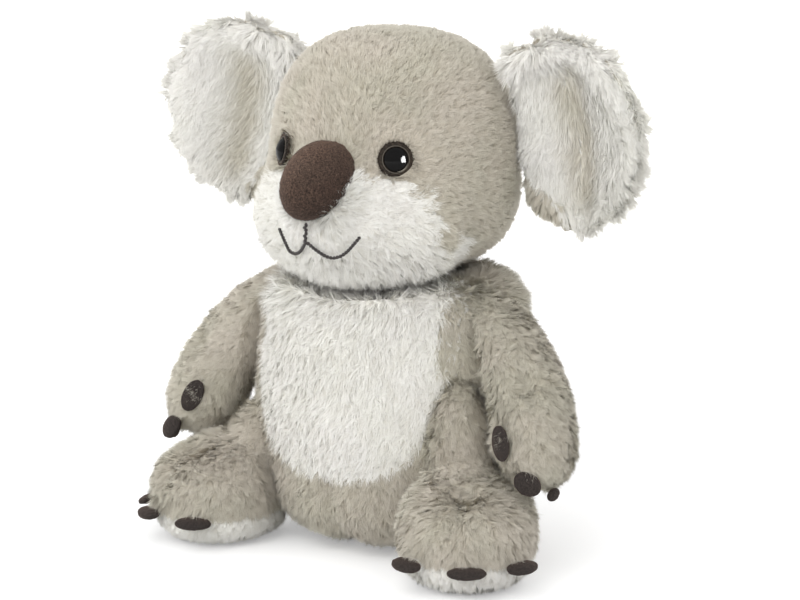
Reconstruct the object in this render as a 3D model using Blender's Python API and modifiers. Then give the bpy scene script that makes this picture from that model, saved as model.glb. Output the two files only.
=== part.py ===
"""A sitting plush koala with a turning head, folding ears and swinging limbs.

The koala faces -Y and its own left side is at +X. Lengths are in metres and
heights start at the floor. Every stuffed piece is a form of smooth lobes: a
cover, which is a sewn shell, goes round a stuffing of the same shape.
"""
import math

import bmesh
import bpy
import numpy as np
from mathutils import Matrix, Vector

# Cloth and clearances
cover_wall = 0.0035
seam_gap = 0.0003
stuffing_gap = 0.0006
floor_flat = 0.0005
cutter_overrun = 0.05

# Body
torso_width = 0.142
torso_depth = 0.116
torso_height = 0.126
seat_width = 0.132
belly_width = 0.110
belly_bottom = 0.037
belly_top = 0.146
seat_pouch_height = 0.030

# Neck
neck_ball_radius = 0.046
neck_rise = 0.010
neck_ring_wall = 0.0008
neck_running_gap = 0.0005
neck_opening_radius = 0.009

# Head
head_width = 0.128
head_depth = 0.104
crown_rise = 0.069
jaw_drop = 0.047
chin_clearance = 0.004
cheek_width = 0.114
cheek_depth = 0.046
muzzle_height = 0.062
snout_width = 0.055
snout_reach = 0.0765
brow_width = 0.068
brow_reach = 0.0580
muzzle_seam_width = 0.104
muzzle_seam_top = 0.026

# Face
eye_width = 0.016
eye_dome_width = 0.0110
eye_spacing = 0.0620
eye_rim_height = 0.0016
eye_dome_height = 0.0024
eye_seat_depth = 0.0006
eye_shank_radius = 0.0018
eye_washer_radius = 0.0065
eye_washer_thickness = 0.0015
nose_width = 0.0345
nose_height = 0.042
nose_depth = 0.024
mouth_width = 0.041
stitch_radius = 0.0009

# Ears
ear_height = 0.103
ear_width = 0.096
ear_thickness = 0.024
ear_dish = 0.014
ear_wall = 0.0038

# Arms
shoulder_radius = 0.0185
arm_radius = 0.0208
paw_radius = 0.0220
arm_reach_out = 0.0465
arm_reach_forward = 0.020
paw_over_foot = 0.012

# Legs
foot_width = 0.068
foot_length = 0.066
foot_height = 0.049
thigh_width = 0.034
thigh_top_left = 0.089
thigh_top_right = 0.064
leg_stance = 0.142
leg_forward = 0.054
sole_height = 0.008

# Claws
hand_claw_length = 0.0190
hand_claw_width = 0.0140
foot_claw_length = 0.0150
foot_claw_width = 0.0175
claw_thickness = 0.0062

# Joint ranges, in degrees
head_turn_range = (-20, 20)
head_nod_range = (-6, 5)
ear_fold_range = (-20, 20)
arm_swing_range = (0, 45)
leg_lift_range = (0, 8)

# Shares and angles of the sizes above
torso_forward_share = 0.045
torso_middle = Vector((0, -torso_depth * torso_forward_share, 0))
snout_root_share = 0.58
brow_root_share = 0.36
chest_middle_share = 0.69
seat_middle_share = 0.32
foot_turn = math.radians(31)
eye_turn = math.radians(12)
ear_yaw = math.radians(8)
ear_lean = math.radians(10)
ear_pitch = math.radians(6)
blend = 10

# Sides and rows of the leg's form, which its neighbours are cut with
leg_detail = (22, 14)

fur_taupe = (0.42, 0.36, 0.30)
fur_white = (0.86, 0.84, 0.80)
suede_brown = (0.055, 0.035, 0.030)
thread_dark = (0.05, 0.045, 0.045)
plastic_black = (0.008, 0.007, 0.007)
felt_brown = (0.06, 0.035, 0.025)
wadding_white = (0.9, 0.9, 0.88)
pouch_cloth = (0.75, 0.72, 0.65)


class Lobe:
    """A swollen ellipsoid; a fullness over 2 squares its sides off like a pillow."""

    def __init__(self, middle, wide, deep, up, down, fullness=2.0, turn=0.0):
        self.middle = np.array(middle, dtype=float)
        self.size = (wide, deep, up, down)
        self.fullness = fullness
        self.axes = np.array(Matrix.Rotation(turn, 3, "Z"))

    def level(self, points, grow):
        """1 on the lobe's surface, less inside and more outside."""
        wide, deep, up, down = self.size
        spot = (points - self.middle) @ self.axes
        rise = np.where(spot[:, 2] > 0, up, down) + grow
        level_flat = np.hypot(spot[:, 0] / (wide + grow), spot[:, 1] / (deep + grow))
        total = level_flat ** self.fullness + np.abs(spot[:, 2] / rise) ** self.fullness
        return np.maximum(total, 1e-12) ** (1 / self.fullness)


def form_level(lobes, points, grow):
    """The level of lobes that run smoothly into each other."""
    return sum(lobe.level(points, grow) ** -blend for lobe in lobes) ** (-1 / blend)


def form_reach(lobes, start, directions, grow=0.0):
    """Distances from a start point inside the lobes to their surface."""
    near = np.zeros(len(directions))
    far = np.full(len(directions), 2 * torso_height)
    for _ in range(30):
        middle = (near + far) / 2
        inside = form_level(lobes, start + directions * middle[:, None], grow) < 1
        near = np.where(inside, middle, near)
        far = np.where(inside, far, middle)
    return near


def surface_point(lobes, start, direction, grow=0.0):
    """Where a ray from a start point inside the lobes leaves them."""
    start = np.array(start, dtype=float)
    direction = np.array(Vector(direction).normalized())
    reach = form_reach(lobes, start, direction[None], grow)[0]
    return Vector(start + direction * reach)


def surface_normal(lobes, point, step=0.001):
    """The outward direction of the form's surface at a point on it."""
    shifts = np.vstack([np.eye(3), -np.eye(3)]) * step * torso_height
    levels = form_level(lobes, np.array(point) + shifts, 0.0)
    return Vector(levels[:3] - levels[3:]).normalized()


# Scene, materials and placing

def clear_scene():
    for item in list(bpy.data.objects):
        bpy.data.objects.remove(item, do_unlink=True)


def new_collection(name):
    collection = bpy.data.collections.new(name)
    bpy.context.scene.collection.children.link(collection)
    return collection


clear_scene()
parts = new_collection("plush_koala")
cutters = new_collection("cutters")


def new_material(name, colour, roughness, metallic=0.0):
    material = bpy.data.materials.new(name)
    material.use_nodes = True
    shader = material.node_tree.nodes["Principled BSDF"]
    shader.inputs["Base Color"].default_value = (*colour, 1)
    shader.inputs["Roughness"].default_value = roughness
    shader.inputs["Metallic"].default_value = metallic
    return material


def object_from(name, mesh_maker, collection=None):
    """A new object whose faces point out, in the parts unless told otherwise."""
    bm = bmesh.new()
    mesh_maker(bm)
    bmesh.ops.recalc_face_normals(bm, faces=bm.faces)
    if bm.calc_volume(signed=True) < 0:
        bmesh.ops.reverse_faces(bm, faces=bm.faces)
    mesh = bpy.data.meshes.new(name)
    bm.to_mesh(mesh)
    bm.free()
    mesh.shade_smooth()
    mesh.set_sharp_from_angle(angle=math.radians(50))
    item = bpy.data.objects.new(name, mesh)
    (collection or parts).objects.link(item)
    return item


def as_cutter(item):
    item.hide_render = True
    item.display_type = "WIRE"
    for collection in list(item.users_collection):
        collection.objects.unlink(item)
    cutters.objects.link(item)
    return item


def finish_part(name, item, material):
    item.name = name
    item.data.materials.clear()
    item.data.materials.append(material)
    return item


def cut(item, *tools, operation="DIFFERENCE"):
    """Cut or join an object with others by exact Booleans."""
    for tool in tools:
        step = item.modifiers.new(tool.name, "BOOLEAN")
        step.operation = operation
        step.solver = "EXACT"
        step.object = tool
    return item


def set_origin(item, pivot):
    """Put an object's origin on its joint without moving its shape."""
    item.data.transform(Matrix.Translation(-Vector(pivot)))
    item.location = pivot
    return item


def joint_empty(name, pivot):
    empty = bpy.data.objects.new(name, None)
    empty.location = pivot
    parts.objects.link(empty)
    return empty


def hang_on(item, empty):
    """Parent a piece to a joint's empty without moving it."""
    item.parent = empty
    item.matrix_parent_inverse = Matrix.Translation(-empty.location)
    return item


def turned_about(pivot, axis, degrees):
    """The matrix that turns world points about a line through the pivot."""
    pivot = Vector(pivot)
    turn = Matrix.Rotation(math.radians(degrees), 4, Vector(axis))
    return Matrix.Translation(pivot) @ turn @ Matrix.Translation(-pivot)


def moved_copy(cutter, matrix):
    copy = bpy.data.objects.new(f"{cutter.name}_{len(cutters.objects)}", cutter.data)
    cutters.objects.link(copy)
    copy.matrix_world = matrix @ cutter.matrix_world
    return as_cutter(copy)


def swept_copies(cutter, pivot, axis, angles):
    """Where a neighbour lies, seen from a piece that turns by each angle."""
    return [moved_copy(cutter, turned_about(pivot, axis, -angle)) for angle in angles]


def steps_between(limits, count):
    return [limits[0] + (limits[1] - limits[0]) * i / (count - 1) for i in range(count)]


def box_cutter(name, low, high):
    def shape(bm):
        bmesh.ops.create_cube(bm, size=1)
        low_corner, high_corner = Vector(low), Vector(high)
        for vertex in bm.verts:
            share = vertex.co + Vector((0.5, 0.5, 0.5))
            size = high_corner - low_corner
            vertex.co = low_corner + Vector(a * b for a, b in zip(share, size))
    return as_cutter(object_from(name, shape))


def rod(name, start, end, radius, sides=16):
    """A closed cylinder between two points."""
    start, end = Vector(start), Vector(end)

    def shape(bm):
        bmesh.ops.create_cone(bm, cap_ends=True, segments=sides, radius1=radius,
                              radius2=radius, depth=(end - start).length)
        turn = (end - start).to_track_quat("Z", "Y").to_matrix().to_4x4()
        bm.transform(Matrix.Translation((start + end) / 2) @ turn)
    return object_from(name, shape)


def ball(name, middle, radius, sides, rows):
    def shape(bm):
        bmesh.ops.create_uvsphere(bm, u_segments=sides, v_segments=rows, radius=radius)
        bm.transform(Matrix.Translation(Vector(middle)))
    return object_from(name, shape)


# Soft forms

def soft_form(name, lobes, start, grow=0.0, sides=28, rows=18):
    """A sphere whose points are swelled out to the surface of the lobes."""
    start = np.array(start, dtype=float)

    def shape(bm):
        bmesh.ops.create_uvsphere(bm, u_segments=sides, v_segments=rows, radius=1)
        directions = np.array([vertex.co.normalized() for vertex in bm.verts])
        reach = form_reach(lobes, start, directions, grow)
        for vertex, direction, distance in zip(bm.verts, directions, reach):
            vertex.co = start + direction * distance
        bmesh.ops.triangulate(bm, faces=bm.faces, quad_method="FIXED")
    return object_from(name, shape)


def tube_form(name, bend, radii, grow=0.0, sides=14, rows=12):
    """A limb: a sphere stretched along a bend of three points, with round ends."""
    first, middle, last = (Vector(point) for point in bend)
    length = (middle - first).length + (last - middle).length
    length = (length + (last - first).length) / 2

    def centre(t):
        return first * (1 - t) ** 2 + middle * 2 * t * (1 - t) + last * t ** 2

    def heading(t):
        return ((middle - first) * (1 - t) + (last - middle) * t).normalized()

    def shape(bm):
        bmesh.ops.create_uvsphere(bm, u_segments=sides, v_segments=rows, radius=1)
        for vertex in bm.verts:
            run = (1 - vertex.co.z) / 2 * (length + radii[0] + radii[-1]) - radii[0]
            t = min(max(run / length, 0), 1)
            past = run - t * length
            cap = radii[0] if past < 0 else radii[-1]
            cap_share = math.sqrt(max(0.0, 1 - (past / cap) ** 2))
            radius = (np.interp(t, np.linspace(0, 1, len(radii)), radii) + grow) * cap_share
            side_way = Vector((0, 1, 0)).cross(heading(t)).normalized()
            other_way = heading(t).cross(side_way)
            round_share = Vector((vertex.co.x, vertex.co.y))
            if round_share.length > 0:
                round_share.normalize()
            vertex.co = (centre(t) + heading(t) * past * (cap + grow) / cap
                         + side_way * round_share.x * radius
                         + other_way * round_share.y * radius)
        bmesh.ops.triangulate(bm, faces=bm.faces, quad_method="FIXED")
    return object_from(name, shape)


# Lobes of each stuffed form

def mirrored(point, side):
    return Vector((point[0] * side, point[1], point[2]))


chest_middle = torso_height * chest_middle_share
seat_middle = torso_height * seat_middle_share
torso_lobes = [
    Lobe((0, torso_middle.y, chest_middle), torso_width / 2, torso_depth / 2,
         torso_height - chest_middle, torso_height * 0.45, fullness=3.6),
    Lobe((0, torso_middle.y, seat_middle), seat_width / 2, torso_depth / 2,
         torso_height * 0.38, seat_middle + floor_flat, fullness=3.2),
]
torso_start = (0, torso_middle.y, torso_height * 0.55)

neck_pivot = Vector((0, torso_middle.y, torso_height + neck_rise - neck_ball_radius))
ring_inner = neck_ball_radius + seam_gap * 2
ring_outer = ring_inner + neck_ring_wall
socket_radius = ring_outer + neck_running_gap

head_middle = torso_height + chin_clearance + jaw_drop
head_back = -head_depth * 0.04
muzzle_middle = head_middle - jaw_drop * 0.43
head_lobes = [
    Lobe((0, head_back, head_middle), head_width / 2, head_depth / 2,
         crown_rise, jaw_drop, fullness=2.65),
    Lobe((0, head_back - head_depth * 0.34, muzzle_middle), cheek_width / 2,
         cheek_depth / 2, muzzle_height / 2, muzzle_height * 0.46, fullness=2.2),
    Lobe((0, -snout_reach * snout_root_share, muzzle_middle + muzzle_height * 0.05),
         snout_width / 2, snout_reach * (1 - snout_root_share),
         muzzle_height * 0.45, muzzle_height * 0.45, fullness=2.2),
    Lobe((0, -brow_reach * brow_root_share, head_middle + crown_rise * 0.15),
         brow_width / 2, brow_reach * (1 - brow_root_share),
         crown_rise * 0.45, crown_rise * 0.35, fullness=2.2),
]
head_start = (0, head_back - head_depth * 0.1, head_middle)


def thigh_height(side):
    return thigh_top_left if side > 0 else thigh_top_right


def leg_lobes(side):
    """The foot, and the thigh that rises beside the belly, higher on the left."""
    thigh_top = thigh_height(side)
    foot_middle = (side * leg_stance / 2, -leg_forward, foot_height * 0.48)
    ankle_middle = (side * leg_stance * 0.46, -leg_forward * 0.80, foot_height * 0.62)
    thigh_middle = (side * leg_stance * 0.38, -leg_forward * 0.64, thigh_top * 0.6)
    turn = side * foot_turn
    return [
        Lobe(foot_middle, foot_width / 2, foot_length / 2, foot_height * 0.50,
             foot_height * 0.48 + floor_flat, fullness=2.5, turn=turn),
        Lobe(ankle_middle, foot_width * 0.44, foot_length * 0.38, foot_height * 0.48,
             foot_height * 0.55, fullness=2.4, turn=turn),
        Lobe(thigh_middle, thigh_width / 2, thigh_width / 2, thigh_top * 0.4,
             thigh_top * 0.5, fullness=2.4, turn=turn),
    ]


def leg_start(side):
    return (side * leg_stance * 0.45, -leg_forward * 0.80, foot_height * 0.62)


def arm_bend(side):
    """Shoulder, bend control and paw of an arm that hangs out and forward."""
    shoulder = Vector((torso_width * 0.325, -torso_depth * 0.10, torso_height * 0.92))
    drop = shoulder.z - foot_height - paw_over_foot
    paw = shoulder + Vector((arm_reach_out, -arm_reach_forward, -drop))
    bend = shoulder + Vector((arm_reach_out * 0.83, -arm_reach_forward * 0.4, -drop * 0.3))
    return [mirrored(point, side) for point in (shoulder, bend, paw)]


arm_radii = (shoulder_radius, arm_radius, arm_radius, paw_radius, paw_radius)


# Shared cutters

def cutter_form(name, lobes, start, grow, sides=28, rows=18):
    return as_cutter(soft_form(name, lobes, start, grow, sides, rows))


def inside_form(name, lobes, start, grow):
    """A coarser form for what a cover hides."""
    return soft_form(name, lobes, start, grow, sides=16, rows=10)


floor_cutter = box_cutter("floor_cutter", (-torso_height * 2, -torso_height * 2, -cutter_overrun),
                          (torso_height * 2, torso_height * 2, 0))
torso_keepout = cutter_form("torso_keepout", torso_lobes, torso_start, seam_gap * 2)
head_keepout = cutter_form("head_keepout", head_lobes, head_start, seam_gap * 2)


# Joints

def shoulder_pivot(side):
    return arm_bend(side)[0]


def hip_pivot(side):
    return mirrored((leg_stance * 0.33, -leg_forward * 0.62, thigh_height(side) * 0.82), side)


def hip_axis(side):
    """Level, across the foot, so that a positive angle lifts the toes."""
    across = Matrix.Rotation(side * foot_turn, 3, "Z") @ Vector((1, 0, 0))
    return -across


def ear_matrix(side):
    """From an ear's own axes (out, back, up) to the world."""
    middle = Vector((head_width / 2 + ear_width * 0.26, head_back, head_middle + crown_rise * 0.33))
    turn = (Matrix.Rotation(-ear_yaw, 4, "Z") @ Matrix.Rotation(-ear_lean, 4, "Y")
            @ Matrix.Rotation(ear_pitch, 4, "X"))
    own = Matrix.Translation(middle) @ turn
    return Matrix.Scale(side, 4, Vector((1, 0, 0))) @ own


def ear_pivot(side):
    return ear_matrix(side) @ Vector((-ear_width * 0.30, ear_dish * 0.6, 0))


def ear_axis(side):
    return (ear_matrix(side).to_3x3() @ Vector((0, 0, 1))).normalized()


arm_axis = Vector((-1, 0, 0))


# Torso

def patch_cutter(name, outline, middle_height, forward_limit, back_limit, grow=0.0):
    """A flat outline in the XZ plane, drawn out along Y."""
    def shape(bm):
        ring = []
        for across, rise in outline:
            spread = Vector((across, rise)).normalized() * grow
            ring.append(bm.verts.new((across + spread.x, forward_limit,
                                      middle_height + rise + spread.y)))
        front = bm.faces.new(ring)
        grown = bmesh.ops.extrude_face_region(bm, geom=[front])
        moved = [item for item in grown["geom"] if isinstance(item, bmesh.types.BMVert)]
        bmesh.ops.translate(bm, verts=moved, vec=(0, back_limit - forward_limit, 0))
    return as_cutter(object_from(name, shape))


def belly_outline(count=16):
    """A bib: straight sides from the neck down, and a round bottom."""
    half_width = belly_width / 2
    half_height = (belly_top - belly_bottom) / 2
    round_height = belly_width * 0.52
    points = [(half_width, half_height), (-half_width, half_height)]
    for i in range(count + 1):
        angle = math.pi * i / count
        across = -math.copysign(abs(math.cos(angle)) ** 0.8, math.cos(angle))
        drop = math.sin(angle) ** 0.9 * round_height
        points.append((across * half_width, round_height - half_height - drop))
    return points


def torso_shell(name):
    shell = soft_form(name, torso_lobes, torso_start)
    neck_ball = as_cutter(ball(f"{name}_neck", neck_pivot, neck_ball_radius, 24, 16))
    inner = as_cutter(inside_form(f"{name}_inner", torso_lobes, torso_start, -cover_wall))
    opening = as_cutter(rod(f"{name}_opening", neck_pivot,
                            neck_pivot + Vector((0, 0, neck_ball_radius + cutter_overrun)),
                            neck_opening_radius))
    cut(shell, neck_ball, operation="UNION")
    cut(shell, floor_cutter, inner, opening)
    return shell


def make_torso(taupe, white, wadding, pouch_fabric):
    middle = (belly_top + belly_bottom) / 2
    front, back = -torso_depth, -torso_depth * 0.12
    exact = patch_cutter("belly_cutter", belly_outline(), middle, front, back)
    grown = patch_cutter("belly_gap_cutter", belly_outline(), middle, front, back, seam_gap)
    cover = finish_part("torso_cover", torso_shell("torso_cover"), taupe)
    cut(cover, grown)
    panel = finish_part("belly_panel", torso_shell("belly_panel"), white)
    cut(panel, exact, operation="INTERSECT")
    stuffing = inside_form("torso_stuffing", torso_lobes, torso_start,
                           -cover_wall - stuffing_gap)
    finish_part("torso_stuffing", stuffing, wadding)
    pouch_lobes = [Lobe((0, torso_middle.y, cover_wall * 2 + seat_pouch_height / 2),
                        seat_width * 0.36, torso_depth * 0.36,
                        seat_pouch_height / 2, seat_pouch_height / 2, fullness=2.6)]
    pouch_start = (0, torso_middle.y, cover_wall * 2 + seat_pouch_height / 2)
    pocket = as_cutter(inside_form("pouch_pocket", pouch_lobes, pouch_start, stuffing_gap))
    mouth = as_cutter(rod("pouch_pocket_mouth", pouch_start, (0, torso_middle.y, -cutter_overrun),
                          seat_width * 0.2, sides=20))
    cut(stuffing, pocket, mouth)
    pouch = inside_form("seat_pouch", pouch_lobes, pouch_start, 0.0)
    finish_part("seat_pouch", pouch, pouch_fabric)


# Neck

def make_neck_ring(thread):
    """The gathered neck seam: a thin band on the neck ball under the head."""
    low, high = math.radians(13), math.radians(27)

    def shape(bm):
        corners = [(ring_inner, low), (ring_outer, low), (ring_outer, high), (ring_inner, high)]
        verts = [bm.verts.new((radius * math.sin(angle), 0, radius * math.cos(angle)))
                 for radius, angle in corners]
        edges = [bm.edges.new((verts[i - 1], verts[i])) for i in range(4)]
        bmesh.ops.spin(bm, geom=verts + edges, angle=2 * math.pi, steps=24,
                       axis=(0, 0, 1), cent=(0, 0, 0), use_merge=True)
        bmesh.ops.remove_doubles(bm, verts=bm.verts, dist=seam_gap / 100)
    ring = object_from("neck_seam_ring", shape)
    ring.location = neck_pivot
    finish_part("neck_seam_ring", ring, thread)


# Head

def muzzle_outline(count=32):
    """The white face patch: wide cheeks up to just under the eyes, and the chin."""
    half_width = muzzle_seam_width / 2
    points = []
    for i in range(count):
        angle = 2 * math.pi * i / count
        across = math.copysign(abs(math.cos(angle)) ** 0.7, math.cos(angle))
        rise = math.copysign(abs(math.sin(angle)) ** 0.7, math.sin(angle))
        height = rise * (muzzle_seam_top if rise > 0 else muzzle_height * 0.9)
        points.append((across * half_width, height))
    return points


def eye_spot(side):
    """Where an eye sits, and its axis, turned out a little from the face."""
    eye_height = head_middle + crown_rise * 0.18
    spot = surface_point(head_lobes, (side * eye_spacing / 2, head_back, eye_height), (0, -1, 0))
    return spot, Matrix.Rotation(side * eye_turn, 3, "Z") @ surface_normal(head_lobes, spot)


def head_shell(name):
    shell = soft_form(name, head_lobes, head_start)
    inner = as_cutter(inside_form(f"{name}_inner", head_lobes, head_start, -cover_wall))
    boss = as_cutter(ball(f"{name}_socket_wall", neck_pivot, socket_radius + cover_wall, 24, 16))
    socket = as_cutter(ball(f"{name}_socket", neck_pivot, socket_radius, 32, 20))
    opening = as_cutter(rod(f"{name}_opening", neck_pivot,
                            neck_pivot + Vector((0, 0, neck_ball_radius + cutter_overrun)),
                            neck_opening_radius))
    cut(inner, boss)
    cut(shell, inner, socket, opening)
    for side in (-1, 1):
        spot, normal = eye_spot(side)
        hole = rod(f"{name}_eye_hole_{side}", spot + normal * cover_wall,
                   spot - normal * cover_wall * 3, eye_shank_radius + seam_gap, sides=14)
        seat = rod(f"{name}_eye_seat_{side}", spot - normal * eye_seat_depth,
                   spot + normal * cover_wall, eye_width / 2 + seam_gap, sides=20)
        recess = rod(f"{name}_washer_recess_{side}", spot - normal * (cover_wall + seam_gap),
                     spot - normal * cover_wall * 3, eye_washer_radius + seam_gap, sides=14)
        cut(shell, *(as_cutter(tool) for tool in (hole, seat, recess)))
    return shell


def make_head(taupe, white, wadding):
    front, back = -head_depth * 1.2, head_back - head_depth * 0.12
    exact = patch_cutter("muzzle_cutter", muzzle_outline(), muzzle_middle, front, back)
    grown = patch_cutter("muzzle_gap_cutter", muzzle_outline(), muzzle_middle, front, back, seam_gap)
    cover = finish_part("head_cover", head_shell("head_cover"), taupe)
    cut(cover, grown)
    panel = finish_part("muzzle_panel", head_shell("muzzle_panel"), white)
    cut(panel, exact, operation="INTERSECT")
    stuffing = inside_form("head_stuffing", head_lobes, head_start,
                           -cover_wall - stuffing_gap)
    boss = as_cutter(ball("stuffing_socket", neck_pivot,
                          socket_radius + cover_wall + seam_gap, 24, 16))
    cut(stuffing, boss)
    for side in (-1, 1):
        spot, normal = eye_spot(side)
        pocket = rod(f"stuffing_eye_pocket_{side}", spot + normal * cover_wall,
                     spot - normal * (cover_wall + eye_washer_thickness * 4),
                     eye_washer_radius + seam_gap, sides=12)
        cut(stuffing, as_cutter(pocket))
    finish_part("head_stuffing", stuffing, wadding)
    for item in (cover, panel, stuffing):
        set_origin(item, neck_pivot)


def turned_piece(name, profile, spot, normal, closed, sides=14):
    """A profile of (radius, height) points, turned about the normal at a spot."""
    mesh = bpy.data.meshes.new(name)
    points = [(radius, 0, height) for radius, height in profile]
    count = len(points)
    edges = [(i, (i + 1) % count) for i in range(count if closed else count - 1)]
    mesh.from_pydata(points, edges, [])
    item = bpy.data.objects.new(name, mesh)
    parts.objects.link(item)
    screw = item.modifiers.new("turn", "SCREW")
    screw.steps = sides
    screw.render_steps = sides
    screw.use_merge_vertices = True
    screw.merge_threshold = seam_gap / 10
    item.location = spot
    item.rotation_euler = normal.to_track_quat("Z", "Y").to_euler()
    return item


def make_eyes(felt, black, washer_plastic, neck_joint):
    """A felt rim, a black dome whose shank goes through the cover, and its washer."""
    for side, word in ((1, "left"), (-1, "right")):
        spot, normal = eye_spot(side)
        rim_bottom = seam_gap - eye_seat_depth
        rim_top = rim_bottom + eye_rim_height
        hole = eye_shank_radius + seam_gap
        rim_profile = [(hole, rim_top), (eye_width * 0.46, rim_top),
                       (eye_width / 2, rim_top - eye_rim_height * 0.4),
                       (eye_width / 2, rim_bottom), (hole, rim_bottom)]
        rim = turned_piece(f"eye_rim_{word}", rim_profile, spot, normal, closed=True)
        hang_on(finish_part(f"eye_rim_{word}", rim, felt), neck_joint)
        dome_base = rim_top + seam_gap
        shank_end = -cover_wall - eye_washer_thickness * 2.5
        radius = eye_dome_width / 2
        dome_profile = [(0, dome_base + eye_dome_height)]
        for i in range(1, 6):
            angle = math.pi / 2 * i / 5
            dome_profile.append((radius * math.sin(angle),
                                 dome_base + eye_dome_height * math.cos(angle)))
        dome_profile += [(eye_shank_radius, dome_base), (eye_shank_radius, shank_end), (0, shank_end)]
        dome = turned_piece(f"eye_{word}", dome_profile, spot, normal, closed=False)
        hang_on(finish_part(f"eye_{word}", dome, black), neck_joint)
        washer_top = -cover_wall - seam_gap * 2
        washer_low = washer_top - eye_washer_thickness
        washer_profile = [(hole, washer_top), (eye_washer_radius, washer_top),
                          (eye_washer_radius, washer_low), (hole, washer_low)]
        washer = turned_piece(f"eye_washer_{word}", washer_profile, spot, normal, closed=True)
        hang_on(finish_part(f"eye_washer_{word}", washer, washer_plastic), neck_joint)


def make_nose(suede):
    """An egg of suede that lies on the upper slope of the muzzle."""
    middle_height = muzzle_middle + nose_height * 0.55
    middle = surface_point(head_lobes, (0, head_back, middle_height), (0, -1, 0))
    turn = surface_normal(head_lobes, middle).to_track_quat("-Y", "Z").to_matrix().to_4x4()

    def shape(bm):
        bmesh.ops.create_uvsphere(bm, u_segments=20, v_segments=12, radius=1)
        for vertex in bm.verts:
            widen = 1 + 0.04 * vertex.co.z
            vertex.co = Vector((vertex.co.x * widen * nose_width / 2,
                                vertex.co.y * nose_depth / 2,
                                vertex.co.z * nose_height / 2))
        bm.transform(Matrix.Translation(middle) @ turn)
    nose = object_from("nose", shape)
    cut(nose, head_keepout)
    set_origin(finish_part("nose", nose, suede), neck_pivot)


def stitch_line(name, outline, thread, neck_joint):
    """Thread laid on the muzzle through points given across and up."""
    curve = bpy.data.curves.new(name, "CURVE")
    curve.dimensions = "3D"
    curve.bevel_depth = stitch_radius
    curve.bevel_resolution = 1
    curve.use_fill_caps = True
    spline = curve.splines.new("POLY")
    spline.points.add(len(outline) - 1)
    for point, (across, height) in zip(spline.points, outline):
        spot = surface_point(head_lobes, (across, head_back - head_depth * 0.1, height), (0, -1, 0))
        lift = surface_normal(head_lobes, spot) * (stitch_radius + seam_gap * 2)
        point.co = (*(spot + lift), 1)
    item = bpy.data.objects.new(name, curve)
    parts.objects.link(item)
    item.data.materials.append(thread)
    return hang_on(item, neck_joint)


def make_mouth(thread, neck_joint):
    """Two smiling arcs that meet under the nose, and the short line above them."""
    meet_height = muzzle_middle - muzzle_height * 0.05
    half = mouth_width / 2
    sag = mouth_width * 0.17
    corner_rise = mouth_width * 0.07
    arcs = []
    for i in range(-10, 11):
        share = abs(i) / 10
        drop = sag * math.sin(math.pi * min(share / 0.9, 1)) - corner_rise * share ** 3
        arcs.append((half * i / 10, meet_height - drop))
    stitch_line("mouth_stitch", arcs, thread, neck_joint)
    top = meet_height + nose_height * 0.19
    bottom = meet_height + stitch_radius * 2 + seam_gap * 2
    line = [(0, top + (bottom - top) * i / 4) for i in range(5)]
    stitch_line("philtrum_stitch", line, thread, neck_joint)


# Ears

def ear_shape(side, grow, sides=22, rows=8):
    """A dished disc; grow moves its surface out, or in when it is negative."""
    half_wide, half_high = ear_width / 2 + grow, ear_height / 2 + grow
    half_thick = ear_thickness / 2 + grow

    def shape(bm):
        bmesh.ops.create_uvsphere(bm, u_segments=sides, v_segments=rows, radius=1)
        bmesh.ops.rotate(bm, verts=bm.verts, matrix=Matrix.Rotation(math.pi / 2, 3, "X"))
        for vertex in bm.verts:
            spread = math.hypot(vertex.co.x, vertex.co.z)
            dish = ear_dish * (1 - spread ** 2)
            vertex.co = Vector((vertex.co.x * half_wide,
                                vertex.co.y * half_thick * (0.55 + 0.45 * spread ** 2) + dish,
                                vertex.co.z * half_high))
        bmesh.ops.triangulate(bm, faces=bm.faces, quad_method="FIXED")
        bm.transform(ear_matrix(side))
    return shape


def ear_half_cutter(name, side, front, gap):
    """A thick dished slab on one side of the ear's middle surface."""
    wide, high = ear_width * 0.8, ear_height * 0.8
    depth = ear_thickness * 3

    def shape(bm):
        bmesh.ops.create_grid(bm, x_segments=8, y_segments=8, size=1)
        for vertex in bm.verts:
            spread = math.hypot(vertex.co.x, vertex.co.y) * 0.8 / 0.5
            dish = ear_dish * (1 - min(spread, 1.4) ** 2)
            vertex.co = Vector((vertex.co.x * wide, dish + gap * front, vertex.co.y * high))
        grown = bmesh.ops.extrude_face_region(bm, geom=list(bm.faces))
        moved = [item for item in grown["geom"] if isinstance(item, bmesh.types.BMVert)]
        bmesh.ops.translate(bm, verts=moved, vec=(0, depth * front, 0))
        bm.transform(ear_matrix(side))
    return as_cutter(object_from(name, shape))


def make_ear(side, word, white, taupe, wadding):
    """A white front and a taupe back, sewn at the rim round a layer of wadding."""
    angles = steps_between(ear_fold_range, 3)
    heads = swept_copies(head_keepout, ear_pivot(side), ear_axis(side), angles)
    core = as_cutter(object_from(f"ear_core_{word}", ear_shape(side, -ear_wall, 16, 6)))
    pieces = (("front", 1, white), ("back", -1, taupe))
    for face, other_side, material in pieces:
        half = ear_half_cutter(f"ear_{face}_cutter_{word}", side, other_side, -seam_gap / 2)
        panel = object_from(f"ear_{face}_{word}", ear_shape(side, 0.0))
        cut(panel, core, half, *heads)
        set_origin(finish_part(f"ear_{face}_{word}", panel, material), ear_pivot(side))
    filling = object_from(f"ear_wadding_{word}",
                          ear_shape(side, -ear_wall - stuffing_gap * 2, 16, 6))
    cut(filling, *heads)
    set_origin(finish_part(f"ear_wadding_{word}", filling, wadding), ear_pivot(side))


# Claws

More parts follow.
